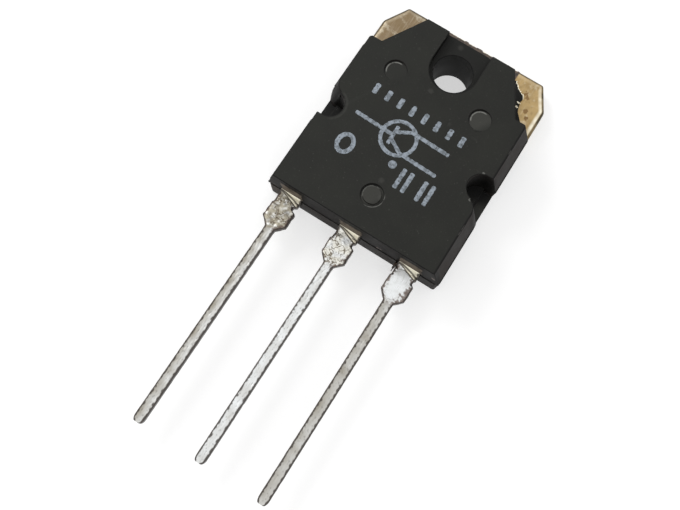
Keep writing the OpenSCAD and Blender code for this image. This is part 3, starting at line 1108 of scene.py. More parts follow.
@dataclass
class Moulding:
    """The black epoxy body: its edges rounded, its parting flash and resin crumbs."""

    finishes: Finishes
    half_width: float = 7.85
    below: float = 15.1
    parting_z: float = 2.05
    edge_round: float = 0.07
    disc_round: float = 0.02
    weld: float = 0.03
    flat_angle: float = 0.6
    sharp_angle: float = 28.0
    shading_angle: float = 35.0
    discs: tuple[tuple[float, float], ...] = ((-3.9, -2.55), (3.9, -2.55), (0.0, -12.3))
    bore_reach: float = 2.2
    flash_corner: float = 0.42
    flash_depth: float = 0.08
    lip_path: tuple[tuple[float, float], ...] = (
        (4.42, 3.5), (4.62, 3.22), (4.9, 2.93), (5.2, 2.76), (5.5, 2.6), (5.72, 2.42), (5.74, 2.2),
    )
    film_gaps: tuple[tuple[float, float], ...] = (
        (-3.6, -2.9), (-2.6, -1.0), (-0.65, 0.15), (0.7, 1.75), (2.2, 3.1), (3.4, 4.1),
    )
    seed: int = 5

    def _rounds(self, work: bmesh.types.BMesh) -> list[tuple[list[bmesh.types.BMEdge], float]]:
        """Sorts the sharp edges by how far they are rounded.

        The outer edges and the notches get the large round, except where the header is
        held near the parting line. The rims of the discs get the small one.

        Args:
            work: The merged body.

        Returns:
            Pairs of edges and the size of their round.
        """
        limit = np.radians(self.sharp_angle)
        sharp = [e for e in work.edges if len(e.link_faces) == 2 and e.calc_face_angle(0.0) > limit]
        middle = np.array([[*((e.verts[0].co + e.verts[1].co) / 2)] for e in sharp]) / MM
        across, along, height = np.abs(middle[:, 0]), middle[:, 1], middle[:, 2]
        outer = (across > 5.5) | (along < -14.8) | (along > 2.9) | (height > 3.6)
        from_notch = np.abs(along + 7.5)
        outer &= ~((height < 2.2) & (across < 7.0) & (from_notch < 7.2) & (from_notch > 1.5))
        disc = np.zeros(len(sharp), bool)
        for x, y in self.discs:
            disc |= np.hypot(middle[:, 0] - x, along - y) < 1.0
        masks = ((outer & ~disc, self.edge_round), (disc & (height > 4.5), self.disc_round))
        return [([e for e, keep in zip(sharp, mask) if keep], size) for mask, size in masks]

    def _dress(self, mesh: bpy.types.Mesh) -> None:
        """Marks the rounds, which take painted shade and painted glints, and parts the drafted
        walls from the matte faces.

        Args:
            mesh: Mesh whose rounds have material index 1.
        """
        count = len(mesh.polygons)
        rounded = np.zeros(count, np.int32)
        mesh.polygons.foreach_get("material_index", rounded)
        round_faces = mesh.attributes.new("round_faces", "FLOAT", "FACE")
        round_faces.data.foreach_set("value", (rounded > 0).astype(np.float32))
        normal, centre = np.zeros(count * 3, np.float32), np.zeros(count * 3, np.float32)
        mesh.polygons.foreach_get("normal", normal)
        mesh.polygons.foreach_get("center", centre)
        normal, centre = normal.reshape(-1, 3), centre.reshape(-1, 3) / MM
        bore = np.hypot(centre[:, 0], centre[:, 1]) < self.bore_reach
        upright = (np.abs(normal[:, 2]) < 0.6) & ~bore
        mesh.materials.append(self.finishes.made[Slot.EPOXY])
        mesh.materials.append(self.finishes.wall)
        mesh.polygons.foreach_set("material_index", upright.astype(np.int32))

    def body(self) -> bpy.types.Object:
        """Copies the solid, merges it, rounds its sharp edges and keeps it in its own box.

        Returns:
            The body.
        """
        work = bmesh.new()
        work.from_mesh(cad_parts["mold_body"].data)
        bmesh.ops.remove_doubles(work, verts=work.verts, dist=self.weld * MM)
        bmesh.ops.dissolve_limit(
            work, angle_limit=np.radians(self.flat_angle), verts=work.verts, edges=work.edges
        )
        for face in work.faces:
            face.material_index = 0
        for edges, size in self._rounds(work):
            made = bmesh.ops.bevel(
                work, geom=edges, offset=size * MM, offset_type="OFFSET", segments=2, profile=0.6,
                affect="EDGES", clamp_overlap=False, material=1,
            )
            LOG.info(
                "moulding: %d edges rounded by %.3f mm with %d faces", len(edges), size, len(made["faces"])
            )
        mesh = bpy.data.meshes.new("epoxy_body")
        work.to_mesh(mesh)
        work.free()
        mesh.shade_smooth()
        low, high = (np.array(corner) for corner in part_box("mold_body"))
        place = np.zeros(len(mesh.vertices) * 3, np.float32)
        mesh.vertices.foreach_get("co", place)
        kept = np.clip(place.reshape(-1, 3), low, high).astype(np.float32)
        mesh.vertices.foreach_set("co", kept.reshape(-1))
        self._dress(mesh)
        piece = new_object("epoxy_body", mesh, self.finishes.made[Slot.EPOXY])
        mesh.set_sharp_from_angle(angle=np.radians(self.shading_angle))
        piece.modifiers.new("weighted", "WEIGHTED_NORMAL").keep_sharp = True
        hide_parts("mold_body")
        return piece

    def parting_flash(self) -> bpy.types.Object:
        """A thin uneven fin of resin along the parting line of the lead side.

        The path runs along the wall and turns into both rounded corners. The fin stands
        out by a few hundredths of a millimetre, by a ripple along the path.

        Returns:
            The fin.
        """
        corner = self.flash_corner
        end_x, end_y = self.half_width - corner, self.below - corner
        turn = np.linspace(np.pi / 8, np.pi / 2, 7)
        bend = np.stack([-end_x - corner * np.cos(turn), -end_y - corner * np.sin(turn)], 1)
        low = np.stack([np.linspace(-end_x, end_x, 420), np.full(420, -self.below)], 1)
        path = np.vstack([bend[:-1], low, (bend * [-1, 1])[::-1][1:]])
        out = -sideways(np.gradient(path, axis=0))
        run = run_along(path)
        rag = 0.058 + 0.006 * ripple(run, 0 * run, 1.6, self.seed)
        rag = rag + 0.003 * ripple(run, 0 * run, 0.3, self.seed + 1)
        rag = np.clip(rag, 0.05, 0.075)[:, None] + self.flash_depth
        lift = self.parting_z - 0.03 + 0.008 * ripple(run, 0 * run, 0.9, self.seed + 2)
        angle = full_turn(8)
        reach = rag * 0.5 * (1 + np.cos(angle)) - self.flash_depth
        xy = path[:, None, :] + out[:, None, :] * reach[..., None]
        z = lift[:, None] + 0.022 * np.sin(angle)
        mesh = grid_mesh("parting_flash", np.concatenate([xy, z[..., None]], -1))
        return new_object("parting_flash", mesh, self.finishes.wall)

    def crumb(
        self, name: str, centre: Point, size: Point, seed: int, shiny: bool = False
    ) -> bpy.types.Object:
        """A ragged chip of resin, or of torn-up copper.

        A ball whose radius follows a ripple over its surface.

        Args:
            name: Piece name.
            centre: Middle of the chip.
            size: Half sizes along X, Y and Z.
            seed: Seed of the ripple.
            shiny: Whether the chip is copper, shown in the pale colour all over as a painted highlight.

        Returns:
            The chip.
        """
        lat, lon = np.meshgrid(np.linspace(0.05, np.pi - 0.05, 14), full_turn(24), indexing="ij")
        ball = np.stack([np.sin(lat) * np.cos(lon), np.sin(lat) * np.sin(lon), np.cos(lat)], -1)
        radius = 1 + 0.22 * ripple(3 * ball[..., 0], 3 * ball[..., 1] + 2 * ball[..., 2], 2.2, seed)
        points = np.array(centre) + ball * radius[..., None] * np.array(size)
        # Every chip is marked for the pale colour; the copper finish shows it as a painted highlight.
        mesh = grid_mesh(name, points, colours={"pale_and_highlight": np.ones(lat.shape)})
        if shiny:
            return new_object(name, mesh, self.finishes.made[Slot.COPPER])
        return new_object(name, mesh, self.finishes.bleed)

    def flash_lip(self) -> bpy.types.Object:
        """A raised edge of copper where the bled resin ends, as a thin uneven tube, painted wholly
        in the pale colour as a painted highlight.

        The tube's radius follows a ripple and shrinks toward both ends like a half circle.

        Returns:
            The lip.
        """
        corners = np.array(self.lip_path)
        last = len(corners) - 1
        at = np.linspace(0, last, 90)
        path = np.stack([np.interp(at, np.arange(last + 1), corners[:, k]) for k in (0, 1)], 1)
        path += 0.025 * np.stack([ripple(at, 0 * at, 1.1, 61), ripple(at, 0 * at, 1.1, 62)], 1)
        side = sideways(np.gradient(path, axis=0))
        turn = full_turn(8)
        taper = np.sqrt(np.clip(4 * at / last * (1 - at / last), 0.03, 1))
        radius = np.clip(0.055 + 0.018 * ripple(at, 0 * at, 0.5, 63), 0.02, 0.09) * taper
        xy = path[:, None, :] + side[:, None, :] * (radius[:, None] * np.cos(turn))[..., None]
        z = 1.5 + radius[:, None] * np.sin(turn)
        points = np.concatenate([xy, z[..., None]], -1)
        # The whole tube takes the pale colour, a painted highlight.
        mesh = grid_mesh("flash_lip", points, colours={"pale_and_highlight": np.ones(z.shape)})
        return new_object("flash_lip", mesh, self.finishes.made[Slot.COPPER])

    def nose_bleed(self) -> bpy.types.Object:
        """A film of resin over the header's upper edge, with gaps that leave copper dashes.

        Height of the film's upper edge: 4.385 outside the gaps and 4.265 inside them,
        blended by smooth steps, with a small ripple. The section is a flat lens.

        Returns:
            The film.
        """
        x = np.linspace(-4.1, 4.3, 420)
        gaps = sum(
            smoothstep(a - 0.06, a + 0.06, x) * (1 - smoothstep(b - 0.06, b + 0.06, x))
            for a, b in self.film_gaps
        )
        top = 4.385 - 0.12 * gaps + 0.012 * ripple(x, 0 * x, 0.35, 71)
        turn = full_turn(12)
        y = 3.3 + (top[:, None] - 3.3) * 0.5 * (1 + np.cos(turn))
        z = 1.385 + 0.055 * np.sin(turn) - 0.08 * smoothstep(4.28, 4.4, y)
        points = np.stack([np.broadcast_to(x[:, None], y.shape), y, z], -1)
        return new_object("nose_bleed", grid_mesh("nose_bleed", points), self.finishes.bleed)

    def build(self) -> list[bpy.types.Object]:
        """Builds the moulding's pieces.

        Returns:
            The pieces.
        """
        return [
            self.body(),
            self.parting_flash(),
            self.flash_lip(),
            self.nose_bleed(),
            self.crumb("root_chip", (4.14, -15.45, 1.85), (0.1, 0.42, 0.14), 21),
            self.crumb("copper_chip_a", (5.55, 1.8, 1.54), (0.17, 0.08, 0.06), 23, shiny=True),
            self.crumb("copper_chip_b", (5.6, 1.4, 1.54), (0.13, 0.09, 0.06), 29, shiny=True),
        ]


# ---------------------------------------------------------------------------------------
# Ink marks
# ---------------------------------------------------------------------------------------


@dataclass
class InkMarks:
    """Generic printed marks: plain dashes, a circuit symbol, a ring, a dot and two pairs of bars."""

    finishes: Finishes
    face_z: float = 4.6
    thickness: float = 0.012
    stroke: float = 0.32
    slope: float = -0.031
    slope_from_x: float = -4.6
    dashes: int = 8
    dash_start_x: float = -4.35
    dash_step: float = 1.14
    dash_y: tuple[float, float] = (-4.2, -5.15)
    symbol: tuple[float, float] = (-0.7, -7.2)
    symbol_radius: float = 1.42
    bar_xs: tuple[float, ...] = (1.1, 1.78, 3.03, 3.71)
    bar_y: tuple[float, float] = (-9.15, -10.95)

    def ribbon(
        self, name: str, path: np.ndarray, width: float, seed: int, closed: bool = False
    ) -> bpy.types.Mesh:
        """A printed stroke: a flattened half-buried tube along a path.

        Cross-section: w cos(t) sideways and h sin(t) upwards. The width follows a ripple
        along the path, and open ends close over a round cap.

        Args:
            name: Mesh name.
            path: Points (n x 2) along the stroke.
            width: Stroke width.
            seed: Seed of the edge's unevenness.
            closed: Whether the path closes on itself.

        Returns:
            The stroke's mesh.
        """
        run = run_along(path)
        at = np.linspace(0, run[-1], max(8, int(run[-1] / 0.035)), endpoint=not closed)
        dense = np.stack([np.interp(at, run, path[:, 0]), np.interp(at, run, path[:, 1])], 1)
        ahead = (np.roll(dense, -1, 0) - np.roll(dense, 1, 0)) if closed else np.gradient(dense, axis=0)
        half = width / 2 * (1 + 0.06 * ripple(dense[:, 0], dense[:, 1], 0.35, seed))
        if not closed:
            end = np.clip(np.minimum(at, run[-1] - at) / (width * 0.25), 0, 1)
            half = half * np.sqrt(np.clip(1 - (1 - end) ** 2, 0.25, 1))
        turn = full_turn(12)
        flat = np.sign(np.sin(turn)) * np.abs(np.sin(turn)) ** 0.5
        across = (half[:, None] * np.cos(turn)[None, :])[..., None]
        xy = dense[:, None, :] + sideways(ahead)[:, None, :] * across
        z = self.face_z + self.thickness * flat[None, :] + 0 * half[:, None]
        return grid_mesh(name, np.concatenate([xy, z[..., None]], -1), wrap_rows=closed)

    def _lean(self, points: Sequence[tuple[float, float]]) -> np.ndarray:
        """Moves points down the print's slope: y + slope (x - start).

        Args:
            points: Points of a level line.

        Returns:
            The points on the sloping line.
        """
        path = np.array(points, float)
        path[:, 1] += self.slope * (path[:, 0] - self.slope_from_x)
        return path

    def ring(
        self, name: str, centre: tuple[float, float], radii: tuple[float, float], width: float, seed: int
    ) -> bpy.types.Mesh:
        """An oval stroke: centre + (a cos t, b sin t).

        Args:
            name: Mesh name.
            centre: Middle of the oval.
            radii: Half sizes a and b.
            width: Stroke width.
            seed: Seed of the edge's unevenness.

        Returns:
            The stroke's mesh.
        """
        turn = np.linspace(0, 2 * np.pi, 97)
        path = np.stack([centre[0] + radii[0] * np.cos(turn), centre[1] + radii[1] * np.sin(turn)], 1)
        return self.ribbon(name, path, width, seed, closed=True)

    def strokes(self) -> list[bpy.types.Mesh]:
        """Works out every stroke of the print.

        Returns:
            The strokes' meshes.
        """
        made: list[bpy.types.Mesh] = []
        for i in range(self.dashes):
            x = self.dash_start_x + i * self.dash_step
            made.append(self.ribbon(f"tick_{i}", self._lean([(x, y) for y in self.dash_y]), 0.4, 40 + i))
        (cx, cy), r = self.symbol, self.symbol_radius
        made.append(self.ring("symbol_ring", tuple(self._lean([(cx, cy)])[0]), (r, r), self.stroke, 51))
        bar, branch, end = cx - 0.5, cx + 0.7, 3.35
        lines = {
            "symbol_base": [(-4.7, cy), (bar, cy)],
            "symbol_bar": [(bar, cy + 0.85), (bar, cy - 0.85)],
            "symbol_collector": [(bar, cy + 0.3), (branch, cy + 1.0), (end, cy + 1.0)],
            "symbol_emitter": [(bar, cy - 0.3), (branch, cy - 1.0), (end, cy - 1.0)],
        }
        for seed, (name, points) in enumerate(lines.items(), 60):
            made.append(self.ribbon(name, self._lean(points), self.stroke, seed))
        made.append(self.ring("plain_ring", (-3.98, -9.88), (0.61, 0.76), 0.37, 71))
        made.append(self.ring("plain_dot", (0.03, -9.4), (0.17, 0.17), 0.36, 72))
        for i, x in enumerate(self.bar_xs):
            made.append(self.ribbon(f"plain_bar_{i}", np.array([(x, y) for y in self.bar_y]), 0.36, 74 + i))
        return made

    def build(self) -> bpy.types.Object:
        """Joins the strokes into one piece.

        Returns:
            The print.
        """
        work = bmesh.new()
        for mesh in self.strokes():
            work.from_mesh(mesh)
            bpy.data.meshes.remove(mesh)
        mesh = bpy.data.meshes.new("ink_marks")
        work.to_mesh(mesh)
        work.free()
        return new_object("ink_marks", mesh, self.finishes.ink)


# ---------------------------------------------------------------------------------------
# Leads
# ---------------------------------------------------------------------------------------


@dataclass
class Skin:
    """What the relief and the tones of a lead's skin share, for every grid point.

    x lies across the lead and s along it, low_edge and high_edge are the x of the flat
    part's ends, and bend is the sideways part of a rounded corner. `upper` is true on the
    top half, pad and shank are 1 on those stretches, beyond is 1 past the end of the
    solder line, and still is 0 where the solder is calm.
    """

    x: np.ndarray
    s: np.ndarray
    low_edge: np.ndarray
    high_edge: np.ndarray
    bend: np.ndarray
    upper: np.ndarray
    edge: np.ndarray
    pad: np.ndarray
    shank: np.ndarray
    step_line: np.ndarray
    beyond: np.ndarray
    groove: np.ndarray
    still: np.ndarray
    folds: np.ndarray
    dents: np.ndarray


@dataclass
class FlatLead:
    """One stamped and solder-dipped lead, from inside the moulding to its tip.

    `s` is the distance from the moulding's lead-side wall, positive outside it. An inner
    row (from s, to s, left half width, right half width) widens the hidden end.
    """

    name: str
    centre_x: float
    finishes: Finishes
    seed: int
    inner: tuple[tuple[float, float, float, float], ...] = ()
    low_z: float = 1.45
    thickness: float = 0.6
    corner: float = 0.09
    below: float = 15.1
    root_half: float = 0.96
    dam_half: float = 1.07
    shank_half: float = 0.435
    dam_start: float = 1.1
    dam_end: float = 2.45
    shank_start: float = 3.07
    length: float = 20.5
    tip_length: float = 0.5
    tip_half: float = 0.21
    heel: float = 0.4
    wrinkle: float = 0.014
    nick: float = 0.3
    nick_at: float = 0.84
    calm: float = 0.0
    border: float = 0.12
    pad_dull: float = 0.2
    shank_dull: float = 0.1
    side_shade: float = 0.0
    scribble: float = 0.5
    mottle: float = 0.1
    warm: float = 0.3

    def stations(self) -> np.ndarray:
        """Distances along the lead: dense in the dipped pad and at the tip.

        Returns:
            The distances s, rising.
        """
        hidden = np.linspace(min((row[0] for row in self.inner), default=-0.4), -0.06, 24)
        pad = np.linspace(-0.04, 3.6, 104)
        shank = np.linspace(3.66, self.length - 0.9, 190)
        rest = np.linspace(self.length - 0.86, self.length - self.tip_length, 8)
        tip = self.length - self.tip_length * (1 - np.sin(np.linspace(0, np.pi / 2, 14)))[1:]
        return np.concatenate([hidden, pad, shank, rest, tip])

    def half_widths(self, s: np.ndarray) -> tuple[np.ndarray, np.ndarray]:
        """Half widths to the left and to the right.

        Straight runs between the root, the dam-bar stub, the taper and the shank, with a
        shear nick on the right. The tip's edge is a quarter of an ellipse.

        Args:
            s: Distances from the wall.

        Returns:
            The left and right half widths.
        """
        keys = [
            -0.4, self.dam_start - 0.05, self.dam_start + 0.06, self.dam_end,
            self.shank_start, self.shank_start + 0.3,
        ]
        halves = [
            self.root_half, self.root_half + 0.01, self.dam_half, self.dam_half,
            self.shank_half + 0.02, self.shank_half,
        ]
        base = np.interp(s, keys, halves)
        notch = self.nick * np.exp(-(((s - self.nick_at) / 0.2) ** 4))
        sway = 0.012 * smoothstep(0.0, 0.4, s) * (1 - 0.8 * smoothstep(self.dam_end, self.shank_start, s))
        left = base + sway * ripple(s, 0 * s, 0.8, self.seed + 1)
        right = base - notch + sway * ripple(s, 0 * s, 0.7, self.seed + 2)
        for start, end, left_half, right_half in self.inner:
            inside = (s <= end) & (s >= start)
            left = np.where(inside, left_half, left)
            right = np.where(inside, right_half, right)
        t = np.clip((s - (self.length - self.tip_length)) / self.tip_length, 0, 1)
        shrink = (self.tip_half + (self.shank_half - self.tip_half) * np.sqrt(1 - t**2)) / self.shank_half
        return left * shrink, right * shrink

    def wrinkles(self, x: np.ndarray, s: np.ndarray) -> np.ndarray:
        """Folds of the dipped solder: narrow lines where a ripple passes 0, in three sizes.

        Each size is exp(-(ripple / width)^2), kept only in the patches of a wider ripple.

        Args:
            x: Place across the lead.
            s: Place along the lead.

        Returns:
            Fold strength, 0 to 1.
        """
        large = np.exp(-((ripple(x, s, 0.62, self.seed + 5) / 0.13) ** 2))
        large = large * smoothstep(-0.6, 0.6, ripple(x, s, 0.9, self.seed + 4))
        middle = np.exp(-((ripple(x * 1.6, s, 0.36, self.seed + 6) / 0.12) ** 2))
        middle = 0.8 * middle * smoothstep(-0.2, 0.6, ripple(x, s, 0.7, self.seed + 3))
        small = np.exp(-((ripple(x, s * 1.2, 0.3, self.seed + 16) / 0.16) ** 2))
        small = 0.65 * small * smoothstep(-0.3, 0.7, ripple(x, s, 0.8, self.seed + 17))
        return np.maximum(np.maximum(large, middle), small)

    def skin(self) -> tuple[Skin, np.ndarray]:
        """Lays the grid of the lead's skin, still smooth.

        Around the section run the top from left to right, a rounded corner, the right
        side, the bottom and the left side. Two curved steps mark where the solder ends
        near the wall.

        Returns:
            The skin and its smooth heights over the lead's lower face.
        """
        stations = self.stations()
        left, right = self.half_widths(stations)
        arc = np.linspace(0, np.pi / 2, 5)
        top, bottom = np.linspace(0, 1, 25), np.linspace(1, 0, 9)
        head, tail = arc[1:], arc[:-1]
        one, nil = np.ones(4), np.zeros(4)
        share = np.concatenate([top, one, one, bottom, nil, nil])[None, :]
        bend = [0 * top, np.sin(head), np.cos(tail), 0 * bottom, -np.sin(head), -np.cos(tail)]
        bend = self.corner * np.concatenate(bend)[None, :]
        sink = [0 * top, 1 - np.cos(head), np.sin(tail) - 1, 0 * bottom, np.cos(head) - 1, 1 - np.sin(tail)]
        sink = self.corner * np.concatenate(sink)[None, :]
        upper = np.concatenate([1 + 0 * top, one, nil, 0 * bottom, nil, one])[None, :] > 0.5
        low_edge, high_edge = -(left - self.corner)[:, None], (right - self.corner)[:, None]
        x = low_edge + (high_edge - low_edge) * share + bend
        s = np.broadcast_to(stations[:, None], x.shape)
        pad = smoothstep(0.05, 0.35, s) * (1 - smoothstep(self.dam_end + 0.35, self.shank_start + 0.5, s))
        shank = smoothstep(self.dam_end, self.shank_start + 0.3, s)
        across = np.clip((x / self.root_half + 1) / 2, 0, 1)
        step_line = 0.08 + 0.62 * across**1.3
        near_line = 0.38 * across**1.2
        beyond = smoothstep(-0.02, 0.05, s - step_line)
        still = 1 - self.calm * smoothstep(1.25, 0.75, ((x + 0.05) / 0.75) ** 2 + ((s - 1.45) / 1.1) ** 2)
        skin = Skin(
            x=x, s=s, low_edge=low_edge, high_edge=high_edge, bend=bend, upper=upper,
            edge=np.clip(np.minimum(x - low_edge, high_edge - x), 0, None),
            pad=pad, shank=shank, step_line=step_line, beyond=beyond, still=still,
            groove=np.exp(-(((s - step_line) / 0.042) ** 2)) + np.exp(-(((s - near_line) / 0.05) ** 2)),
            folds=self.wrinkles(x, s) * pad * still * beyond,
            dents=smoothstep(1.1, 1.9, ripple(x * 1.3, s, 0.3, self.seed + 12)) * shank,
        )
        return skin, np.where(upper, self.thickness - sink, -sink)

    def surface(self) -> tuple[np.ndarray, dict[str, np.ndarray]]:
        """Works out the lead's skin with its relief and its tones.

        Height = smooth height + wrinkles and crown of the pad, ripple and dents of the
        shank, grooves of the solder's end, and the heel that climbs the wall.

        Returns:
            The grid of points and its named values.
        """
        skin, z = self.skin()
        x, s = skin.x, skin.s
        from_edge = np.clip(skin.edge / 0.2, 0, 1)
        swell = ripple(x, s, 0.5, self.seed + 11) * skin.pad * skin.still * skin.beyond * from_edge
        crown = 0.035 * (1 - (1 - from_edge) ** 2) * skin.beyond * skin.pad
        relief = self.wrinkle * (0.4 * swell - 1.2 * skin.folds) + crown
        relief = relief + 0.004 * ripple(x, s * 0.3, 0.22, self.seed + 7) * skin.shank
        relief = relief - 0.012 * skin.dents - 0.018 * skin.groove * (s > 0)
        z = z + relief * np.where(skin.upper, 1.0, -0.5) * np.where(np.abs(skin.bend) > 0, 0.3, 1.0)
        z = z + self.heel * (1 - smoothstep(-0.05, 0.34, s)) * (s > -0.35) * skin.upper
        side_noise = 0.01 * ripple(s, z, 0.5, self.seed + 8) * (s > 0) * (1 - 0.7 * skin.shank)
        skin.x = x + np.where(np.abs(skin.bend) > 0.05, np.sign(skin.bend) * side_noise, 0.0)
        points = np.stack([skin.x + self.centre_x, -self.below - s, z + self.low_z], -1)
        return points, self.tones(skin)

    def tones(self, skin: Skin) -> dict[str, np.ndarray]:
        """Works out where the skin is creased or takes painted shade along its edges, and where it
        is bare, dull, rough, creamy and scrawled.

        Args:
            skin: The skin.

        Returns:
            The named values, each 0 to 1.
        """
        x, s, pad, shank, beyond = skin.x, skin.s, skin.pad, skin.shank, skin.beyond
        corners = np.clip(1.5 * np.abs(skin.bend) / self.corner, 0, 1)
        teeth = np.clip(0.055 + 0.03 * ripple(s, x, 0.35, self.seed + 9), 0.02, 0.13)
        near = smoothstep(teeth + 0.02, teeth - 0.02, skin.edge) * (s > 0)
        crease_and_edge_shade = 0.6 * self.scribble * skin.folds + 1.25 * skin.groove * (s > 0)
        # Painted shade on the rounded corners, in a band along the edges and in the dents.
        crease_and_edge_shade = crease_and_edge_shade + 0.95 * corners + 0.9 * near + 0.35 * skin.dents
        ragged = np.clip(self.border * (1 + 0.6 * ripple(x, s, 0.36, self.seed + 10)), 0.03, None)
        lower = smoothstep(0.9, 2.2, s)
        right = 1 - smoothstep(0.6 * ragged, ragged, (skin.high_edge - x) / (0.5 + 1.2 * lower))
        left = 1 - smoothstep(0.3 * ragged, 0.6 * ragged, x - skin.low_edge)
        root = 1 - smoothstep(-0.05, 0.1, s - skin.step_line)
        dull = self.pad_dull * (1 - shank) + self.shank_dull * shank
        dull = dull + self.side_shade * shank * smoothstep(0.25, -0.35, x)
        dull = dull + self.mottle * np.clip(ripple(x, s, 0.45, self.seed + 18), -1.6, 1.2) * pad
        dull = dull * (1 - 0.9 * root) + 0.08 * ripple(x * 0.6, s, 1.3, self.seed + 13) * (1 - root)
        patchy = smoothstep(-2.4, 1.2, ripple(x, s, 0.8, self.seed + 15)) * pad
        cream = 0.85 * root * (s > -0.1) + self.warm * patchy * (1 - root) * (1 - shank)
        worn = smoothstep(0.3, 0.05, skin.edge) * smoothstep(-0.3, 0.6, ripple(s, x, 1.7, self.seed + 14))
        rough = skin.still * 0.22 * pad + 0.6 * (0.25 + 0.75 * worn) * shank
        return {
            "crease_and_edge_shade": np.clip(crease_and_edge_shade, 0, 0.96),
            "bare": 0.85 * np.maximum(right, left) * pad * beyond,
            "dull": np.clip(dull, 0, 1),
            "rough": np.clip(rough, 0, 1),
            "cream": np.clip(cream, 0, 1),
            "scrawl": self.scribble * pad * skin.still * beyond,
        }

    def build(self, *nodes: str) -> bpy.types.Object:
        """Builds the lead.

        Args:
            nodes: Solids that the piece stands for.

        Returns:
            The lead.
        """
        points, values = self.surface()
        mesh = grid_mesh(self.name, points, colours=values)
        piece = new_object(self.name, mesh, self.finishes.made[Slot.TIN])
        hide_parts(*nodes)
        return piece


# ---------------------------------------------------------------------------------------
# Header
# ---------------------------------------------------------------------------------------


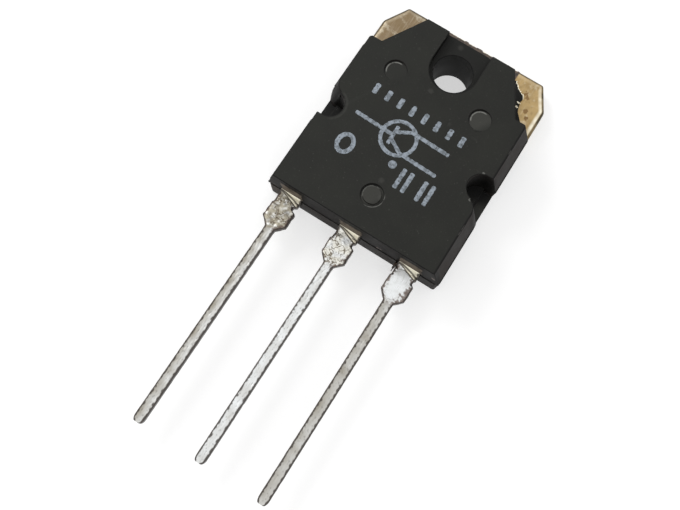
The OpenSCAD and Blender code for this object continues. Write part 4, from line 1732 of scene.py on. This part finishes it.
@dataclass
class Header:
    """The stamped copper plate: chamfered tab, waist inside the moulding, lined hole."""

    finishes: Finishes
    half: float = 7.83
    inner_half: float = 6.7
    above: float = 4.4
    tab_below: float = 1.1
    below: float = 12.2
    tab_cut: float = 1.24
    inner_cut: float = 0.8
    thickness: float = 1.4
    hole_radius: float = 2.325
    nose_half: float = 4.4
    face_steps: int = 6

    def outline(self) -> np.ndarray:
        """The plate's edge as a dense closed path, corners rounded by a moving average.

        Returns:
            Points (n x 2) along the edge, clockwise from the middle of the top.
        """
        fall = self.tab_cut * np.tan(np.radians(60))
        right = [
            (0, self.above), (self.half - self.tab_cut, self.above), (self.half, self.above - fall),
            (self.half, -self.tab_below), (self.inner_half, -self.tab_below),
            (self.inner_half, -self.below + self.inner_cut), (self.inner_half - self.inner_cut, -self.below),
            (0, -self.below),
        ]
        left = [(-x, y) for x, y in right[::-1]][1:-1]
        closed = np.array([*right, *left, right[0]])
        run = run_along(closed)
        at = np.linspace(0, run[-1], 901)[:-1]
        path = np.stack([np.interp(at, run, closed[:, 0]), np.interp(at, run, closed[:, 1])], 1)
        for _ in range(3):
            path = (np.roll(path, 1, 0) + path + np.roll(path, -1, 0)) / 3
        return path

    def tones(self, path: np.ndarray, out: np.ndarray) -> dict[str, np.ndarray]:
        """Painted highlight and painted shade along the plate's rolled edge.

        Each is a value per outline point times a value per step of the edge profile: the
        painted highlight is strongest where the edge faces +X, and the nose between the tabs is
        scraped bare, its copper shown in the same pale colour.

        Args:
            path: The outline.
            out: Its outward directions.

        Returns:
            The named values over the grid.
        """
        flat = np.zeros(self.face_steps)
        rim_row, shade_row, bare_row = (
            np.concatenate([flat, row, flat])
            for row in (
                [0.0, 0.5, 0.95, 1.0, 0.85, 0.2, 0.0, 0.0, 0.0, 0.0, 0.1, 0.2, 0.0],
                [0.0, 0.0, 0.0, 0.0, 0.12, 0.8, 0.97, 0.97, 0.92, 0.75, 0.6, 0.3, 0.0],
                [0.0, 0.0, 0.0, 0.1, 0.4, 0.8, 0.9, 0.8, 0.2, 0.0, 0.0, 0.0, 0.0],
            )
        )
        x, y = path[:, 0], path[:, 1]
        facing = np.clip(out[:, 0] * 1.6 - 0.5, 0, 1)
        glow = 0.12 + 0.88 * facing * (0.75 + 0.25 * np.clip(ripple(x, y, 0.7, 17), -1, 1))
        depth = 0.85 + 0.15 * np.clip(ripple(x, y, 1.1, 19), -1, 1)
        nose = smoothstep(self.above - 0.2, self.above - 0.1, y)
        nose = nose * smoothstep(self.nose_half, self.nose_half - 0.3, np.abs(x))
        # Painted highlight of the rolled edge and bare copper of the nose; painted shade beside them.
        pale_and_highlight = np.maximum(glow[:, None] * rim_row, nose[:, None] * bare_row)
        return {"pale_and_highlight": pale_and_highlight, "shade": (depth * (1 - 0.85 * nose))[:, None] * shade_row}

    def surface(self) -> tuple[np.ndarray, dict[str, np.ndarray]]:
        """Works out the whole plate as one ring-shaped grid.

        Each row starts on the hole's upper edge, runs over the face to the outline, down
        the rolled edge profile and back over the other face to the hole's lower edge. The
        hole point of a row lies in the direction of its outline point. With f from 0 to 1
        the face point is hole + (edge - hole) * f.

        Returns:
            The grid of points and its named values.
        """
        path = self.outline()
        out = sideways(np.roll(path, -1, 0) - np.roll(path, 1, 0))
        for _ in range(3):
            out = sum(np.roll(out, k, 0) for k in range(-5, 6)) / 11
        t = self.thickness
        profile = np.array([
            (-0.56, t), (-0.48, t - 0.002), (-0.38, t - 0.008), (-0.3, t - 0.016), (-0.24, t - 0.03),
            (-0.19, t - 0.05), (-0.13, t - 0.08), (-0.04, t - 0.15), (0.0, t - 0.26), (0.0, 0.5),
            (0.0, 0.09), (-0.03, 0.02), (-0.1, 0.0),
        ])
        edge = path[:, None, :] + out[:, None, :] * profile[None, :, 0, None]
        hole = self.hole_radius * path / np.linalg.norm(path, axis=1)[:, None]
        steps = self.face_steps
        f = np.linspace(0, 1, steps + 1)[:-1]
        upper = hole[:, None, :] + (edge[:, :1] - hole[:, None, :]) * f[None, :, None]
        lower = hole[:, None, :] + (edge[:, -1:] - hole[:, None, :]) * f[None, ::-1, None]
        xy = np.concatenate([upper, edge, lower], 1)
        z = np.concatenate([np.full(steps, t), profile[:, 1], np.zeros(steps)])
        points = np.concatenate([xy, np.broadcast_to(z[None, :, None], (*xy.shape[:2], 1))], -1)
        return points, self.tones(path, out)

    def build(self) -> bpy.types.Object:
        """Builds the plate.

        Returns:
            The plate.
        """
        points, values = self.surface()
        mesh = grid_mesh("header_plate", points, wrap_rows=True, colours=values)
        mesh.set_sharp_from_angle(angle=np.radians(40))
        piece = new_object("header_plate", mesh, self.finishes.made[Slot.COPPER])
        piece.modifiers.new("weighted", "WEIGHTED_NORMAL").keep_sharp = True
        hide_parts("collector_frame")
        return piece


@dataclass
class SealedParts:
    """Chip, solder and bond wires, which stay as their solids inside the epoxy."""

    finishes: Finishes
    slots: dict[str, Slot] = field(
        default_factory=lambda: {
            "silicon_die": Slot.SILICON, "die_solder": Slot.SOLDER, "base_wire": Slot.WIRE,
            "emitter_wire_1": Slot.WIRE, "emitter_wire_2": Slot.WIRE,
        }
    )

    def build(self) -> None:
        """Gives each sealed solid its finish."""
        for name, slot in self.slots.items():
            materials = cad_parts[name].data.materials
            materials.clear()
            materials.append(self.finishes.made[slot])


# ---------------------------------------------------------------------------------------
# Studio
# ---------------------------------------------------------------------------------------


@dataclass
class Studio:
    """Plain pale floor, soft lamps and the camera."""

    eye: Point = (8.858, -30.083, 69.919)
    look: Point = (-0.111429, 0.250828, -0.961597)
    up: Point = (-0.518734, 0.810658, 0.271567)
    lens: float = 47.43
    shift: tuple[float, float] = (-0.0606, -0.0641)
    floor_half: float = 2000.0
    floor_z: float = -0.02
    floor_tone: float = 0.55
    floor_glow: float = 0.56
    sky_light: float = 0.72
    lamp_target: Point = (0.0, -12.0, 0.0)

    def camera(self) -> None:
        """Places the camera by its eye point, its view direction and its up direction.

        The turn's axes are: back = -look, right = up x back, above = back x right.
        """
        data = bpy.data.cameras.new("camera")
        data.sensor_fit = "HORIZONTAL"
        data.sensor_width = 36.0
        data.lens = self.lens
        data.shift_x, data.shift_y = self.shift
        data.clip_start = 0.002
        data.clip_end = 10.0
        back = -Vector(self.look).normalized()
        right = Vector(self.up).cross(back).normalized()
        turn = Matrix((right, back.cross(right), back)).transposed().to_4x4()
        camera = bpy.data.objects.new("camera", data)
        camera.matrix_world = Matrix.Translation(Vector(self.eye) * MM) @ turn
        bpy.context.scene.collection.objects.link(camera)
        bpy.context.scene.camera = camera

    def floor(self) -> None:
        """Lays a floor that keeps a soft shadow and shows plain white to the camera.

        Its emission is seen only by the rays that look at it, and lights nothing.
        """
        size = self.floor_half * MM
        mesh = bpy.data.meshes.new("floor")
        corners = [(-size, -size, 0), (size, -size, 0), (size, size, 0), (-size, size, 0)]
        mesh.from_pydata(corners, [], [(0, 1, 2, 3)])
        floor = bpy.data.objects.new("floor", mesh)
        bpy.context.scene.collection.objects.link(floor)
        floor.location.z = self.floor_z * MM
        material = bpy.data.materials.new("floor_white")
        material.use_nodes = True
        graph = Graph(material.node_tree)
        shader = material.node_tree.nodes["Principled BSDF"]
        shader.inputs["Base Color"].default_value = (self.floor_tone, self.floor_tone, self.floor_tone, 1)
        shader.inputs["Roughness"].default_value = 0.9
        shader.inputs["Specular IOR Level"].default_value = 0.0
        shader.inputs["Emission Color"].default_value = (1, 1, 1, 1)
        graph.link(graph.times(graph.mirror_rays(), self.floor_glow), shader.inputs["Emission Strength"])
        mesh.materials.append(material)

    def world(self) -> None:
        """Makes a soft sky that looks white to the camera and in reflections.

        Strength = sky light + (1 - sky light) for the rays that look at it.
        """
        world = bpy.data.worlds.new("soft_sky")
        world.use_nodes = True
        bpy.context.scene.world = world
        graph = Graph(world.node_tree)
        background = world.node_tree.nodes["Background"]
        background.inputs["Color"].default_value = (1, 1, 1, 1)
        seen = graph.times(graph.mirror_rays(), 1 - self.sky_light)
        graph.link(graph.plus(seen, self.sky_light), background.inputs["Strength"])

    def lamp(self, name: str, place: Point, size: float, power: float) -> None:
        """Hangs a square soft lamp that faces the part.

        Args:
            name: Lamp name.
            place: Position in millimetres.
            size: Side of the square in millimetres.
            power: Power in watts.
        """
        data = bpy.data.lights.new(name, "AREA")
        data.size = size * MM
        data.energy = power
        lamp = bpy.data.objects.new(name, data)
        lamp.location = Vector(place) * MM
        facing = Vector(self.lamp_target) * MM - lamp.location
        lamp.rotation_euler = facing.to_track_quat("-Z", "Y").to_euler()
        bpy.context.scene.collection.objects.link(lamp)

    def build(self) -> None:
        """Sets the stage."""
        self.camera()
        self.floor()
        self.world()
        self.lamp("key", (-240, 70, 190), 130, 0.40)
        self.lamp("fill", (200, -200, 260), 200, 0.12)
        bpy.context.scene.view_settings.view_transform = "Standard"


def leads(finishes: Finishes) -> list[bpy.types.Object]:
    """Builds the three leads: dull base, creamy collector, and an emitter with a calm bright pad.

    Args:
        finishes: The part's finishes.

    Returns:
        The leads.
    """
    base = FlatLead(
        "base_pin", -5.65, finishes, 101, ((-2.4, -0.9, 1.1, 2.1),), wrinkle=0.024, pad_dull=0.92,
        shank_dull=0.46, side_shade=0.38, warm=0.25, scribble=1.0, mottle=0.34,
    )
    collector = FlatLead(
        "collector_pin", -0.2, finishes, 202, ((-2.2, -0.4, 0.94, 0.94),), nick=0.2, pad_dull=0.04,
        shank_dull=0.22, warm=0.42, scribble=1.0, mottle=0.12,
    )
    emitter = FlatLead(
        "emitter_pin", 5.25, finishes, 303, ((-2.4, -0.9, 2.1, 1.1),), nick=0.12, calm=1.0, border=0.26,
        pad_dull=0.0, shank_dull=0.62, side_shade=0.15, warm=0.0, scribble=0.5, mottle=0.0,
    )
    return [base.build("base_lead"), collector.build("collector_frame"), emitter.build("emitter_lead")]


def main() -> None:
    """Builds every sub-assembly in order and reports each piece."""
    logging.basicConfig(level=logging.INFO, format="%(name)s: %(message)s")
    Studio().build()
    finishes = Finishes()
    pieces = [
        *Moulding(finishes).build(), InkMarks(finishes).build(), Header(finishes).build(), *leads(finishes),
    ]
    SealedParts(finishes).build()
    for piece in pieces:
        LOG.info("%s: %d faces", piece.name, len(piece.data.polygons))


if __name__ == "__main__":
    main()
